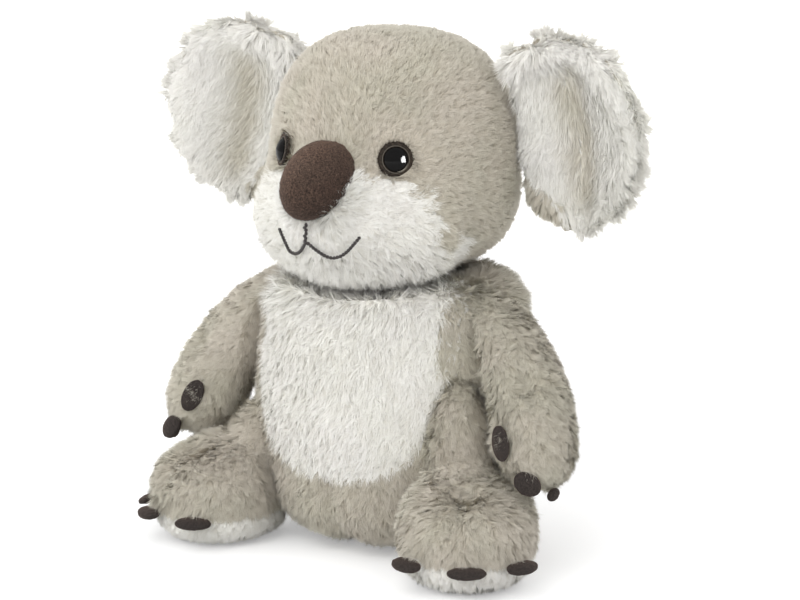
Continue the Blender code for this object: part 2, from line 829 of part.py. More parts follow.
def claw(name, length, width, spot, point_way, flat_way, suede, keepouts, pivot):
    """A flat rounded tab whose root is cut to the paw that it is sewn to."""
    point_way = Vector(point_way).normalized()
    side_way = point_way.cross(Vector(flat_way)).normalized()
    thick_way = side_way.cross(point_way)

    def shape(bm):
        bmesh.ops.create_uvsphere(bm, u_segments=8, v_segments=6, radius=1)
        for vertex in bm.verts:
            share = vertex.co.z
            narrow = 1 - 0.15 * max(share, 0)
            vertex.co = (point_way * share * length / 2
                         + side_way * vertex.co.x * narrow * width / 2
                         + thick_way * vertex.co.y * narrow * claw_thickness / 2)
        bm.transform(Matrix.Translation(Vector(spot)))
    item = object_from(name, shape)
    cut(item, *keepouts)
    set_origin(finish_part(name, item, suede), pivot)


# Arms

def arm_neighbours(side, word):
    """The leg and the head in their reached positions, seen from the swinging arm."""
    pivot = shoulder_pivot(side)
    leg = cutter_form(f"leg_near_{word}", leg_lobes(side), leg_start(side), seam_gap * 2,
                      *leg_detail)
    near_angles = steps_between((0, arm_swing_range[1] / 2), 7)
    found = swept_copies(leg, pivot, arm_axis, near_angles)
    for lift in steps_between(leg_lift_range, 3)[1:]:
        found.append(moved_copy(leg, turned_about(hip_pivot(side), hip_axis(side), lift)))
    nod = turned_about(neck_pivot, (1, 0, 0), head_nod_range[1])
    for head_turn in (0, side * head_turn_range[1]):
        head = moved_copy(head_keepout, turned_about(neck_pivot, (0, 0, 1), head_turn) @ nod)
        found += swept_copies(head, pivot, arm_axis, arm_swing_range)
    return found


def make_arm(side, word, taupe, wadding, suede):
    pivot = shoulder_pivot(side)
    neighbours = arm_neighbours(side, word)
    angles = steps_between(arm_swing_range, 7)
    torsos = swept_copies(torso_keepout, pivot, arm_axis, angles)
    inner = as_cutter(tube_form(f"arm_inner_{word}", arm_bend(side), arm_radii, -cover_wall,
                                sides=10, rows=9))
    cover = tube_form(f"arm_cover_{word}", arm_bend(side), arm_radii)
    cut(cover, inner, *torsos, *neighbours)
    set_origin(finish_part(f"arm_cover_{word}", cover, taupe), pivot)
    stuffing = tube_form(f"arm_stuffing_{word}", arm_bend(side), arm_radii,
                         -cover_wall - stuffing_gap, sides=10, rows=9)
    cut(stuffing, *torsos, *neighbours)
    set_origin(finish_part(f"arm_stuffing_{word}", stuffing, wadding), pivot)
    keepout = as_cutter(tube_form(f"arm_keepout_{word}", arm_bend(side), arm_radii, seam_gap))
    paw = arm_bend(side)[2]
    aims = (("inner", (-0.30, -0.90, 0.25), (0.05, -0.2, -1)),
            ("middle", (0.30, -0.88, -0.42), (0.10, -0.4, -0.9)),
            ("outer", (0.80, -0.30, -0.60), (0.30, -0.1, -0.9)))
    for place, aim, point_way in aims:
        aim = mirrored(aim, side).normalized()
        spot = paw + aim * paw_radius
        claw(f"hand_claw_{place}_{word}", hand_claw_length, hand_claw_width, spot,
             mirrored(point_way, side), aim, suede, [keepout, *neighbours], pivot)


# Legs

def make_leg(side, word, taupe, white, wadding, suede):
    pivot, axis = hip_pivot(side), hip_axis(side)
    lobes, start = leg_lobes(side), leg_start(side)
    angles = steps_between(leg_lift_range, 3)
    torsos = swept_copies(torso_keepout, pivot, axis, angles)
    inner = as_cutter(inside_form(f"leg_inner_{word}", lobes, start, -cover_wall))
    far = torso_height * 2
    slab = box_cutter(f"sole_slab_{word}", (-far, -far, 0), (far, far, sole_height))
    below = box_cutter(f"below_cover_{word}", (-far, -far, -far), (far, far, sole_height + seam_gap))
    cover = soft_form(f"leg_cover_{word}", lobes, start, 0.0, *leg_detail)
    cut(cover, inner, below, *torsos)
    set_origin(finish_part(f"leg_cover_{word}", cover, taupe), pivot)
    sole = soft_form(f"sole_{word}", lobes, start, 0.0, *leg_detail)
    cut(sole, slab, operation="INTERSECT")
    cut(sole, inner, *torsos)
    set_origin(finish_part(f"sole_{word}", sole, white), pivot)
    stuffing = inside_form(f"leg_stuffing_{word}", lobes, start, -cover_wall - stuffing_gap)
    cut(stuffing, *torsos)
    set_origin(finish_part(f"leg_stuffing_{word}", stuffing, wadding), pivot)
    keepout = cutter_form(f"leg_keepout_{word}", lobes, start, seam_gap, *leg_detail)
    foot_middle = Vector(lobes[0].middle)
    places = (("inner", -50), ("middle", 0), ("outer", 45))
    for place, spread in places:
        heading = Matrix.Rotation(side * (foot_turn + math.radians(spread)), 3, "Z")
        aim = heading @ Vector((0, -1, 0))
        claw_height = foot_height * 0.30
        root = surface_point(lobes, (foot_middle.x, foot_middle.y, claw_height), aim)
        way = (aim + Vector((0, 0, -0.25))).normalized()
        claw(f"foot_claw_{place}_{word}", foot_claw_length, foot_claw_width, root, way,
             (0, 0, 1), suede, [keepout], pivot)


def make_koala():
    taupe = new_material("taupe_fur", fur_taupe, 0.95)
    white = new_material("white_fur", fur_white, 0.95)
    suede = new_material("brown_suede", suede_brown, 0.85)
    thread = new_material("dark_thread", thread_dark, 0.7)
    black = new_material("black_plastic", plastic_black, 0.08)
    felt = new_material("brown_felt", felt_brown, 0.9)
    wadding = new_material("wadding", wadding_white, 0.95)
    pouch_fabric = new_material("pouch_fabric", pouch_cloth, 0.9)
    washer_plastic = new_material("washer_plastic", wadding_white, 0.4)
    make_torso(taupe, white, wadding, pouch_fabric)
    make_neck_ring(thread)
    make_head(taupe, white, wadding)
    neck_joint = joint_empty("neck_joint", neck_pivot)
    make_eyes(felt, black, washer_plastic, neck_joint)
    make_nose(suede)
    make_mouth(thread, neck_joint)
    for side, word in ((1, "left"), (-1, "right")):
        make_ear(side, word, white, taupe, wadding)
        make_arm(side, word, taupe, wadding, suede)
        make_leg(side, word, taupe, white, wadding, suede)


make_koala()
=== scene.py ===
"""Looks of the sitting plush koala: stuffed skins, fur, face and claws on its CAD frame.

The koala faces -Y and its own left side is at +X. Lengths are in metres. The CAD
solids reach the outer edge of the fur, so each skin lies a fur's depth under them.
"""

import math

import bmesh
import bpy
import numpy as np
from mathutils import Matrix, Vector
from mathutils.bvhtree import BVHTree
from mathutils.kdtree import KDTree


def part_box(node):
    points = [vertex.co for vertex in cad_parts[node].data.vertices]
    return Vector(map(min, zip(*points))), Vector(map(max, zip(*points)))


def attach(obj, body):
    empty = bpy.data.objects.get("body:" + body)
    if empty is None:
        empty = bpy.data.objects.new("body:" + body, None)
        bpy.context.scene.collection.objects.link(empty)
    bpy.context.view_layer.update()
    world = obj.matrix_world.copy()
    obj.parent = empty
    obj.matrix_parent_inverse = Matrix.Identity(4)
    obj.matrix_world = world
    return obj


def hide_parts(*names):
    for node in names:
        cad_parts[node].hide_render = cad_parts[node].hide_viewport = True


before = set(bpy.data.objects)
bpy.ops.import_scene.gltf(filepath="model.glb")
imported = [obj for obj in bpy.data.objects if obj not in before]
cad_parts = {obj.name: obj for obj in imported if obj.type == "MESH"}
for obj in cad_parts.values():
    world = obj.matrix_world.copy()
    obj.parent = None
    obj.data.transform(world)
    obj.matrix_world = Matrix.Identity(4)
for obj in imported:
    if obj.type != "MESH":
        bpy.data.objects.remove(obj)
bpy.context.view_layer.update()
scene = bpy.context.scene
sides = ((1, "left"), (-1, "right"))

# Skins under the fur
skin_voxel = 0.0040
fur_depth = 0.0040
head_fur_depth = 0.0030
face_depth = 0.0012
face_reach = 0.0120
swell_cap = 0.0030
sim_frames = 20

# Face
stitch_radius = 0.0009
stitch_lift = 0.0006
thread_pitch = 0.0030
head_middle = Vector((0, -0.004, 0.177))

# Ears, as the CAD places them
ear_width = 0.096
ear_height = 0.103
ear_middle = Vector((0.08896, -0.00416, 0.19977))
ear_yaw = math.radians(8)
ear_lean = math.radians(10)
ear_pitch = math.radians(6)

# Legs
foot_turn = math.radians(31)
sole_fur_height = 0.0165
thigh_pad_out = 0.0545
thigh_pad_forward = 0.0350
thigh_pad_size = (0.0145, 0.0145, 0.0300)
thigh_pad_rise = 0.0070

# Camera, at the photo's angle
camera_azimuth = math.radians(33)
camera_elevation = math.radians(11)
camera_distance = 1.15
camera_target = Vector((0, 0, 0.114))
focal_pixels = 2415
photo_width = 800
sensor_width = 36

# Light
world_light = 0.98
glint_offset = 0.0034
glint_size = 0.80
glint_energy = 180


# Numbers and noise

def linear(red, green, blue):
    """A colour given as it looks on a screen, from 0 to 255, as linear light."""
    shares = [value / 255 for value in (red, green, blue)]
    return [s / 12.92 if s <= 0.04045 else ((s + 0.055) / 1.055) ** 2.4 for s in shares]


def unit(vectors):
    return vectors / np.maximum(np.linalg.norm(vectors, axis=1), 1e-9)[:, None]


def dot(a, b):
    return np.einsum("ij,ij->i", a, b)


def smooth(low, high, values):
    """0 below low, 1 above high, and a smooth rise between them."""
    share = np.clip((values - low) / (high - low), 0, 1)
    return share * share * (3 - 2 * share)


def waves(points, size, seed, count=7):
    """Smooth noise between about -1 and 1, with features of the given size."""
    random = np.random.default_rng(seed)
    heading = unit(random.normal(size=(count, 3)))
    length = size * random.uniform(0.7, 1.6, count)
    phase = random.uniform(0, math.tau, count)
    return np.sin(points @ heading.T / length * math.tau + phase).mean(1) * 2


def wave_vectors(points, size, seed):
    return np.stack([waves(points, size, seed + i) for i in range(3)], axis=1)


def flat_to(vectors, normals):
    """The vectors laid flat on surfaces with these normals."""
    return unit(vectors - dot(vectors, normals)[:, None] * normals)


# Meshes

def welded_arrays(mesh, grow=0.0):
    """Points and triangles of a CAD mesh with its split edges joined, grown if asked."""
    bm = bmesh.new()
    bm.from_mesh(mesh)
    bmesh.ops.remove_doubles(bm, verts=bm.verts, dist=1e-6)
    bmesh.ops.triangulate(bm, faces=bm.faces)
    bm.normal_update()
    points = np.array([vertex.co + vertex.normal * grow for vertex in bm.verts])
    faces = np.array([[vertex.index for vertex in face.verts] for face in bm.faces])
    bm.free()
    return points, faces


def new_object(name, points, faces):
    mesh = bpy.data.meshes.new(name)
    mesh.from_pydata([tuple(point) for point in points], [], [tuple(face) for face in faces])
    mesh.update()
    item = bpy.data.objects.new(name, mesh)
    scene.collection.objects.link(item)
    return item


def points_of(mesh):
    points = np.empty(len(mesh.vertices) * 3)
    mesh.vertices.foreach_get("co", points)
    return points.reshape(-1, 3)


def normals_of(mesh):
    normals = np.empty(len(mesh.vertices) * 3)
    mesh.vertex_normals.foreach_get("vector", normals)
    return normals.reshape(-1, 3)


def move_points(mesh, points):
    mesh.vertices.foreach_set("co", points.ravel())
    mesh.update()


def baked(item):
    """Replace an object's mesh by what its modifiers make of it."""
    graph = bpy.context.evaluated_depsgraph_get()
    mesh = bpy.data.meshes.new_from_object(item.evaluated_get(graph))
    item.modifiers.clear()
    old = item.data
    item.data = mesh
    mesh.name = item.name
    if old.users == 0:
        bpy.data.meshes.remove(old)
    return item


def tree_of(*nodes):
    """A search tree over the faces of CAD nodes."""
    points, faces, start = [], [], 0
    for node in nodes:
        some_points, some_faces = welded_arrays(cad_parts[node].data)
        points.append(some_points)
        faces.append(some_faces + start)
        start += len(some_points)
    return BVHTree.FromPolygons(np.vstack(points).tolist(), np.vstack(faces).tolist())


def distances(tree, points):
    return np.array([tree.find_nearest(point)[3] for point in points.tolist()])


def line_distances(line, points):
    """Distance from each point to a line of points."""
    line = np.array(line)
    best = np.full(len(points), np.inf)
    for start, end in zip(line[:-1], line[1:]):
        along = end - start
        share = np.clip((points - start) @ along / (along @ along), 0, 1)
        best = np.minimum(best, np.linalg.norm(points - start - share[:, None] * along, axis=1))
    return best


def biggest_island(item):
    """Delete all of a mesh but the piece that reaches furthest."""
    bm = bmesh.new()
    bm.from_mesh(item.data)
    left = set(bm.verts)
    islands = []
    while left:
        seed = left.pop()
        island, edge = {seed}, [seed]
        while edge:
            vertex = edge.pop()
            for link in vertex.link_edges:
                other = link.other_vert(vertex)
                if other not in island:
                    island.add(other)
                    edge.append(other)
        left -= island
        islands.append(island)
    islands.sort(key=len)
    for island in islands[:-1]:
        bmesh.ops.delete(bm, geom=list(island), context="VERTS")
    bm.to_mesh(item.data)
    bm.free()
    return item


# Where the face's pieces are

mouth_low, mouth_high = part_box("mouth_stitch")
nose_low, nose_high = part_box("nose")
nose_middle = (nose_low + nose_high) / 2
head_tree = tree_of("muzzle_panel", "head_cover")


def on_head(across, height):
    """The point of the head's CAD surface there, seen from the front, and its normal."""
    spot, normal, _, _ = head_tree.ray_cast(Vector((across, -1, height)), Vector((0, 1, 0)))
    return spot, normal


def mouth_line(steps=40):
    """Two smiling arcs that meet under the nose."""
    width = mouth_high.x - mouth_low.x - stitch_radius * 2
    meet_height = mouth_high.z - stitch_radius - width * 0.07
    points = []
    for i in range(-steps, steps + 1):
        share = abs(i) / steps
        drop = width * (0.17 * math.sin(math.pi * share) - 0.07 * share ** 3)
        spot, normal = on_head(width / 2 * i / steps, meet_height - drop)
        points.append(spot + normal * (stitch_radius + stitch_lift))
    return points


def philtrum_line(steps=12):
    low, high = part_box("philtrum_stitch")
    bottom = low.z - stitch_radius * 3.2
    points = []
    for i in range(steps + 1):
        spot, normal = on_head(0, bottom + (high.z - bottom) * i / steps)
        points.append(spot + normal * (stitch_radius + stitch_lift))
    return points


def eye_axis(word):
    """The middle of an eye's rim, and the way that the eye looks."""
    points, _ = welded_arrays(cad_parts[f"eye_rim_{word}"].data)
    middle = points.mean(0)
    _, _, ways = np.linalg.svd(points - middle)
    way = ways[2] * (1 if ways[2][1] < 0 else -1)
    return middle, way


eyes = {word: eye_axis(word) for _, word in sides}
eye_radius = 0.008
eye_sink = 0.0008
dome_radius = eye_radius * 0.68
dome_height = 0.0022
ring_radius = eye_radius * 0.76
ring_tube = 0.00018
dome_bend = (dome_radius ** 2 + dome_height ** 2) / (2 * dome_height)
mouth = [tuple(point) for point in mouth_line()]
philtrum = [tuple(point) for point in philtrum_line()]


def nose_distance(points):
    """About how far points are from the nose's edge."""
    nose_size = np.array(nose_high - nose_low) / 2
    share = np.linalg.norm((points - np.array(nose_middle)) / nose_size, axis=1)
    return (share - 1) * nose_size.min()


def trim_distance(points):
    """How far points are from the nearest edge of an eye or a stitch."""
    near = np.minimum(line_distances(mouth, points), line_distances(philtrum, points))
    for middle, _ in eyes.values():
        near = np.minimum(near, np.linalg.norm(points - middle, axis=1) - eye_radius)
    return near


def head_depth_under(points):
    """The skin rises to the face's pieces, where the fur is short."""
    by_nose = nose_distance(points)
    near = np.minimum(trim_distance(points), by_nose)
    puff = np.exp(-(by_nose / 0.0050) ** 2) * smooth(0.004, 0.010, abs(points[:, 0]))
    puff *= smooth(nose_middle.z + 0.010, nose_middle.z - 0.006, points[:, 2])
    return face_depth + (head_fur_depth - face_depth) * smooth(0, face_reach, near) - 0.0030 * puff


def even_depth(points):
    return np.full(len(points), fur_depth)


def leg_depth(points):
    """The skin comes out towards the sole's edge, where the fur is short."""
    return fur_depth - 0.0022 * (1 - smooth(0.008, 0.020, points[:, 2]))


# Seams and tacks that pull the skins in: the line, how deep, and how wide

elbow_tack = Vector((0.0905, -0.0400, 0.0945))
foot_tack = Vector((0.0755, -0.0625, 0.0485))
foot_crease_end = Vector((0.0800, -0.0815, 0.0345))
thigh_crease = (Vector((0.0568, -0.0402, 0.0888)), Vector((0.0464, -0.0516, 0.0595)),
                Vector((0.0480, -0.0560, 0.0420)))


def mirrored(point, side):
    return Vector((point[0] * side, point[1], point[2]))


def torso_seams():
    """The seam up the middle of the seat and lower belly, and up the back."""
    front = [(0, -0.018, 0), (0, -0.047, 0.005), (0, -0.060, 0.018), (0, -0.063, 0.037)]
    back = [(0, 0.020, 0.002), (0, 0.044, 0.010), (0, 0.054, 0.040), (0, 0.054, 0.085),
            (0, 0.046, 0.112)]
    # The creases beside the thighs barely dip the skin; their shade is painted on the fur by
    # shade_seams
    creases = [([mirrored(point, side) for point in thigh_crease], 0.0010, 0.0022)
               for side, _ in sides]
    return [(front, 0.0026, 0.0030), (back, 0.0022, 0.0030), *creases]


def arm_seams(side):
    tack = mirrored(elbow_tack, side)
    return [([tack, tack + Vector((0, 0, 0.0005))], 0.0045, 0.0040)]


def leg_seams(side):
    tack, end = mirrored(foot_tack, side), mirrored(foot_crease_end, side)
    return [([tack, tack + Vector((0, 0, 0.0005))], 0.0026, 0.0030),
            ([tack, end], 0.0026, 0.0026)]


# Stuffed skins

def stuffed(item, held):
    """Let cloth pressure swell the skin between its held seams, up to the cap."""
    mesh = item.data
    rest = points_of(mesh)
    group = item.vertex_groups.new(name="held")
    for index in np.nonzero(held > 0.3)[0]:
        group.add([int(index)], float(held[index]), "REPLACE")
    cloth = item.modifiers.new("stuffing", "CLOTH")
    settings = cloth.settings
    settings.quality = 5
    settings.mass = 0.3
    settings.tension_stiffness = 12
    settings.compression_stiffness = 12
    settings.bending_stiffness = 0.4
    settings.use_pressure = True
    settings.uniform_pressure_force = 4
    settings.effector_weights.gravity = 0
    settings.vertex_group_mass = "held"
    cloth.point_cache.frame_end = sim_frames
    for number in range(1, sim_frames + 1):
        scene.frame_set(number)
    graph = bpy.context.evaluated_depsgraph_get()
    swollen = points_of(item.evaluated_get(graph).data)
    item.modifiers.remove(cloth)
    scene.frame_set(1)
    move = swollen - rest
    far = np.linalg.norm(move, axis=1)
    move *= (np.minimum(far, swell_cap) / np.maximum(far, 1e-9))[:, None]
    normals = normals_of(mesh)
    move -= normals * dot(move, normals).mean()
    move_points(mesh, rest + move)
    return item


def ball_arrays(middle, size):
    """Points and triangles of an ellipsoid."""
    bm = bmesh.new()
    bmesh.ops.create_icosphere(bm, subdivisions=4, radius=1)
    points = np.array([vertex.co for vertex in bm.verts]) * size + middle
    faces = np.array([[vertex.index for vertex in face.verts] for face in bm.faces])
    bm.free()
    return points, faces


def make_skin(name, covers, fillings, depth, seams=(), pad=None):
    """One closed stuffed form from CAD covers and what fills them; a pad is the middle
    and size of one more lump of wadding that swells it."""
    points, faces, start = [], [], 0
    for node in list(covers) + list(fillings):
        grow = 0.0 if node in covers else 0.0020
        some_points, some_faces = welded_arrays(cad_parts[node].data, grow)
        points.append(some_points)
        faces.append(some_faces + start)
        start += len(some_points)
    if pad:
        some_points, some_faces = ball_arrays(*pad)
        points.append(some_points)
        faces.append(some_faces + start)
    item = new_object(name, np.vstack(points), np.vstack(faces))
    voxels = item.modifiers.new("voxels", "REMESH")
    voxels.mode = "VOXEL"
    voxels.voxel_size = skin_voxel
    rounding = item.modifiers.new("rounding", "SMOOTH")
    rounding.factor = 0.5
    rounding.iterations = 6
    biggest_island(baked(item))
    mesh = item.data
    cad = tree_of(*covers)
    old, normals = points_of(mesh), normals_of(mesh)
    under = depth(old) - distances(cad, old)
    if pad:
        level = np.linalg.norm((old - pad[0]) / pad[1], axis=1)
        under *= 1 - smooth(0.72, 0.88, level) * (1 - smooth(1.15, 1.30, level))
    new = old - normals * under[:, None]
    held = np.zeros(len(new))
    for line, deep, wide in seams:
        pull = np.exp(-(line_distances(line, old) / (wide * 1.6)) ** 2)
        new -= normals * (pull * deep)[:, None]
        held = np.maximum(held, pull)
    new[:, 2] = np.maximum(new[:, 2], 0.0006)
    move_points(mesh, new)
    stuffed(item, held)
    finer = item.modifiers.new("finer", "SUBSURF")
    finer.levels = 1
    finer.render_levels = 1
    baked(item)
    new, normals = points_of(item.data), normals_of(item.data)
    for line, deep, wide in seams:
        pull = np.exp(-(line_distances(line, new + normals * fur_depth) / wide) ** 2)
        new -= normals * (pull * deep * 0.5)[:, None]
    new[:, 2] = np.maximum(new[:, 2], 0.0004)
    move_points(item.data, new)
    item.data.shade_smooth()
    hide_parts(*covers, *fillings)
    return item


# Materials

def new_material(name):
    material = bpy.data.materials.new(name)
    material.use_nodes = True
    tree = material.node_tree
    return material, tree.nodes, tree.links, tree.nodes["Principled BSDF"]


def ramp(nodes, stops):
    node = nodes.new("ShaderNodeValToRGB")
    node.color_ramp.elements[0].position = stops[0][0]
    node.color_ramp.elements[0].color = (*stops[0][1], 1)
    node.color_ramp.elements[1].position = stops[-1][0]
    node.color_ramp.elements[1].color = (*stops[-1][1], 1)
    for position, colour in stops[1:-1]:
        node.color_ramp.elements.new(position).color = (*colour, 1)
    return node


def noise(nodes, links, scale, detail=3.0, roughness=0.5):
    place = nodes.new("ShaderNodeTexCoord")
    node = nodes.new("ShaderNodeTexNoise")
    node.inputs["Scale"].default_value = scale
    node.inputs["Detail"].default_value = detail
    node.inputs["Roughness"].default_value = roughness
    links.new(place.outputs["Object"], node.inputs["Vector"])
    return node


def mixed(nodes, links, kind, share, first, second):
    """A colour mix; share, first and second are sockets or plain values."""
    node = nodes.new("ShaderNodeMix")
    node.data_type = "RGBA"
    node.blend_type = kind
    ends = ((node.inputs["Factor"], share), (node.inputs["A"], first), (node.inputs["B"], second))
    for socket, value in ends:
        if isinstance(value, bpy.types.NodeSocket):
            links.new(value, socket)
        else:
            socket.default_value = value if isinstance(value, float) else (*value, 1)
    return node.outputs["Result"]


def bump(nodes, links, height, strength, distance, shader):
    node = nodes.new("ShaderNodeBump")
    node.inputs["Strength"].default_value = strength
    node.inputs["Distance"].default_value = distance
    links.new(height, node.inputs["Height"])
    links.new(node.outputs["Normal"], shader.inputs["Normal"])


def fur_material(name, stops, dull, patch, sheen):
    """Strands in a tone for each clump, from dull to full colour, with soft patches. The tone also
    carries painted shade at creases, in the ear hollows and on the thighs, and painted light on the
    nose's nap.
    """
    material, nodes, links, shader = new_material(name)
    along = nodes.new("ShaderNodeAttribute")
    along.attribute_name = "along"
    tone = nodes.new("ShaderNodeAttribute")
    tone.attribute_name = "tone"
    colours = ramp(nodes, stops)
    links.new(along.outputs["Fac"], colours.inputs["Fac"])
    tones = ramp(nodes, ((0.0, dull), (1.0, (1, 1, 1))))
    links.new(tone.outputs["Fac"], tones.inputs["Fac"])
    toned = mixed(nodes, links, "MULTIPLY", 1.0, colours.outputs["Color"], tones.outputs["Color"])
    patches = noise(nodes, links, 28, 2)
    tints = ramp(nodes, ((0.38, patch[0]), (0.62, patch[1])))
    links.new(patches.outputs["Fac"], tints.inputs["Fac"])
    coloured = mixed(nodes, links, "MULTIPLY", 1.0, toned, tints.outputs["Color"])
    grain = noise(nodes, links, 900, 2)
    grains = ramp(nodes, ((0.3, (0.96, 0.96, 0.96)), (0.7, (1, 1, 1))))
    links.new(grain.outputs["Fac"], grains.inputs["Fac"])
    last = mixed(nodes, links, "MULTIPLY", 1.0, coloured, grains.outputs["Color"])
    links.new(last, shader.inputs["Base Color"])
    shader.inputs["Roughness"].default_value = 0.9
    shader.inputs["Specular IOR Level"].default_value = 0.15
    shader.inputs["Sheen Weight"].default_value = sheen
    shader.inputs["Sheen Roughness"].default_value = 0.5
    bump(nodes, links, grain.outputs["Fac"], 0.2, 0.0001, shader)
    return material


def skin_material(name):
    """The woven backing under the fur, taupe or white as its attribute says."""
    material, nodes, links, shader = new_material(name)
    white = nodes.new("ShaderNodeAttribute")
    white.attribute_name = "white"
    backing = mixed(nodes, links, "MIX", white.outputs["Fac"], taupe_root, white_root)
    weave = noise(nodes, links, 700, 4)
    weaves = ramp(nodes, ((0.3, (0.75, 0.75, 0.75)), (0.7, (1, 1, 1))))
    links.new(weave.outputs["Fac"], weaves.inputs["Fac"])
    last = mixed(nodes, links, "MULTIPLY", 1.0, backing, weaves.outputs["Color"])
    links.new(last, shader.inputs["Base Color"])
    shader.inputs["Roughness"].default_value = 0.95
    shader.inputs["Sheen Weight"].default_value = 0.2
    bump(nodes, links, weave.outputs["Fac"], 0.6, 0.0004, shader)
    return material


def suede_material(name, dark, light, worn, grain):
    """Short nap: fine grain, brushed patches and a soft sheen."""
    material, nodes, links, shader = new_material(name)
    nap = noise(nodes, links, grain, 4, 0.7)
    naps = ramp(nodes, ((0.36, dark), (0.66, light)))
    links.new(nap.outputs["Fac"], naps.inputs["Fac"])
    brushed = noise(nodes, links, 70, 2)
    brushes = ramp(nodes, ((0.4, (1, 1, 1)), (0.66, worn)))
    links.new(brushed.outputs["Fac"], brushes.inputs["Fac"])
    last = mixed(nodes, links, "MULTIPLY", 1.0, naps.outputs["Color"], brushes.outputs["Color"])
    links.new(last, shader.inputs["Base Color"])
    shader.inputs["Roughness"].default_value = 0.9
    shader.inputs["Specular IOR Level"].default_value = 0.3
    shader.inputs["Sheen Weight"].default_value = 0.35
    shader.inputs["Sheen Roughness"].default_value = 0.4
    shader.inputs["Sheen Tint"].default_value = (*linear(190, 160, 145), 1)
    bump(nodes, links, nap.outputs["Fac"], 0.7, 0.0003, shader)
    return material


nose_painted_light_reach = 0.021


def painted_light_nose_material():
    """Suede with painted light: its upper right side is painted lighter and redder, and its lower left
    side darker.
    """
    material = suede_material("nose_suede_painted_light", linear(30, 23, 20), linear(102, 83, 71),
                              (1.10, 1.05, 1.03), 1300)
    nodes, links = material.node_tree.nodes, material.node_tree.links
    shader = nodes["Principled BSDF"]
    place = nodes.new("ShaderNodeTexCoord")
    across = nodes.new("ShaderNodeVectorMath")
    across.operation = "DOT_PRODUCT"
    across.inputs[1].default_value = (-0.75, 0, 0.66)
    links.new(place.outputs["Object"], across.inputs[0])
    middle = -0.75 * nose_middle.x + 0.66 * nose_middle.z
    spread = nodes.new("ShaderNodeMapRange")
    spread.inputs["From Min"].default_value = middle - nose_painted_light_reach
    spread.inputs["From Max"].default_value = middle + nose_painted_light_reach
    links.new(across.outputs["Value"], spread.inputs["Value"])
    # Painted light: a tint from dark at the lower left to light at the upper right
    tints = ramp(nodes, ((0.0, (0.40, 0.37, 0.38)), (0.5, (0.80, 0.78, 0.78)),
                         (1.0, (1.75, 1.75, 1.75))))
    links.new(spread.outputs["Result"], tints.inputs["Fac"])
    plain = shader.inputs["Base Color"].links[0].from_socket
    links.new(mixed(nodes, links, "MULTIPLY", 1.0, plain, tints.outputs["Color"]),
              shader.inputs["Base Color"])
    return material


def plastic_material(name, colour, roughness, smear, gloss):
    """Polished plastic with faint handling marks in its gloss."""
    material, nodes, links, shader = new_material(name)
    shader.inputs["Specular IOR Level"].default_value = gloss
    marks = noise(nodes, links, 260, 5)
    spread = nodes.new("ShaderNodeMapRange")
    spread.inputs["To Min"].default_value = roughness
    spread.inputs["To Max"].default_value = roughness + smear
    links.new(marks.outputs["Fac"], spread.inputs["Value"])
    links.new(spread.outputs["Result"], shader.inputs["Roughness"])
    depth = ramp(nodes, ((0.35, colour), (0.7, [value * 1.35 for value in colour])))
    links.new(marks.outputs["Fac"], depth.inputs["Fac"])
    links.new(depth.outputs["Color"], shader.inputs["Base Color"])
    return material


def cloth_material(name, dark, light, threads):
    """Woven or twisted threads: bands of light and shade at the thread's size."""
    material, nodes, links, shader = new_material(name)
    place = nodes.new("ShaderNodeTexCoord")
    bands = []
    for way in ("X", "Z"):
        wave = nodes.new("ShaderNodeTexWave")
        wave.bands_direction = way
        wave.inputs["Scale"].default_value = threads
        wave.inputs["Distortion"].default_value = 1.5
        links.new(place.outputs["Object"], wave.inputs["Vector"])
        bands.append(wave.outputs["Fac"])
    woven = mixed(nodes, links, "MULTIPLY", 0.6, bands[0], bands[1])
    colours = ramp(nodes, ((0.1, dark), (0.8, light)))
    links.new(woven, colours.inputs["Fac"])
    links.new(colours.outputs["Color"], shader.inputs["Base Color"])
    shader.inputs["Roughness"].default_value = 0.8
    shader.inputs["Sheen Weight"].default_value = 0.25
    bump(nodes, links, woven, 0.5, 0.0002, shader)
    return material


taupe_root = linear(188, 180, 165)
white_root = linear(240, 238, 232)
taupe_stops = ((0.0, taupe_root), (0.4, linear(202, 195, 181)), (1.0, linear(222, 217, 206)))
white_stops = ((0.0, white_root), (0.4, linear(247, 246, 241)), (1.0, linear(252, 251, 248)))
taupe_patch = ((0.94, 0.95, 0.91), (1.0, 0.985, 0.97))
white_patch = ((0.985, 0.985, 0.965), (1.0, 0.995, 0.99))
taupe_fur = fur_material("taupe_fur", taupe_stops, (0.60, 0.57, 0.52), taupe_patch, 0.2)
white_fur = fur_material("white_fur", white_stops, (0.66, 0.63, 0.56), white_patch, 0.1)
backing = skin_material("fur_backing")
felt_fuzz = fur_material("felt_fuzz", ((0.0, linear(30, 26, 23)), (1.0, linear(62, 54, 47))),
                         (0.6, 0.6, 0.6), ((0.9, 0.9, 0.9), (1, 1, 1)), 0.2)
nose_suede_painted_light = painted_light_nose_material()
nose_nap = fur_material("nose_nap", ((0.0, linear(66, 53, 46)), (1.0, linear(150, 126, 110))),
                        (0.16, 0.15, 0.16), ((0.9, 0.9, 0.9), (1, 1, 1)), 0.1)
claw_suede = suede_material("claw_suede", linear(32, 28, 27), linear(58, 52, 49), (1.1, 1.08, 1.06),
                            1500)
eye_felt = suede_material("eye_felt", linear(24, 21, 18), linear(62, 54, 46), (1.1, 1.05, 1), 1100)
thread = cloth_material("dark_thread", linear(34, 30, 30), linear(72, 66, 64), 420)
black_plastic = plastic_material("black_plastic", linear(12, 11, 11), 0.05, 0.04, 0.1)
# A lighter plastic for the thin ring round each eye's dome: a painted highlight on the flange's edge
ring_highlight_plastic = plastic_material("ring_highlight_plastic", linear(84, 78, 70), 0.40, 0.15, 0.4)
washer_plastic = plastic_material("washer_plastic", linear(225, 224, 220), 0.4, 0.1, 0.5)
pouch_cloth = cloth_material("pouch_cloth", linear(176, 168, 150), linear(226, 220, 206), 240)


# Fur

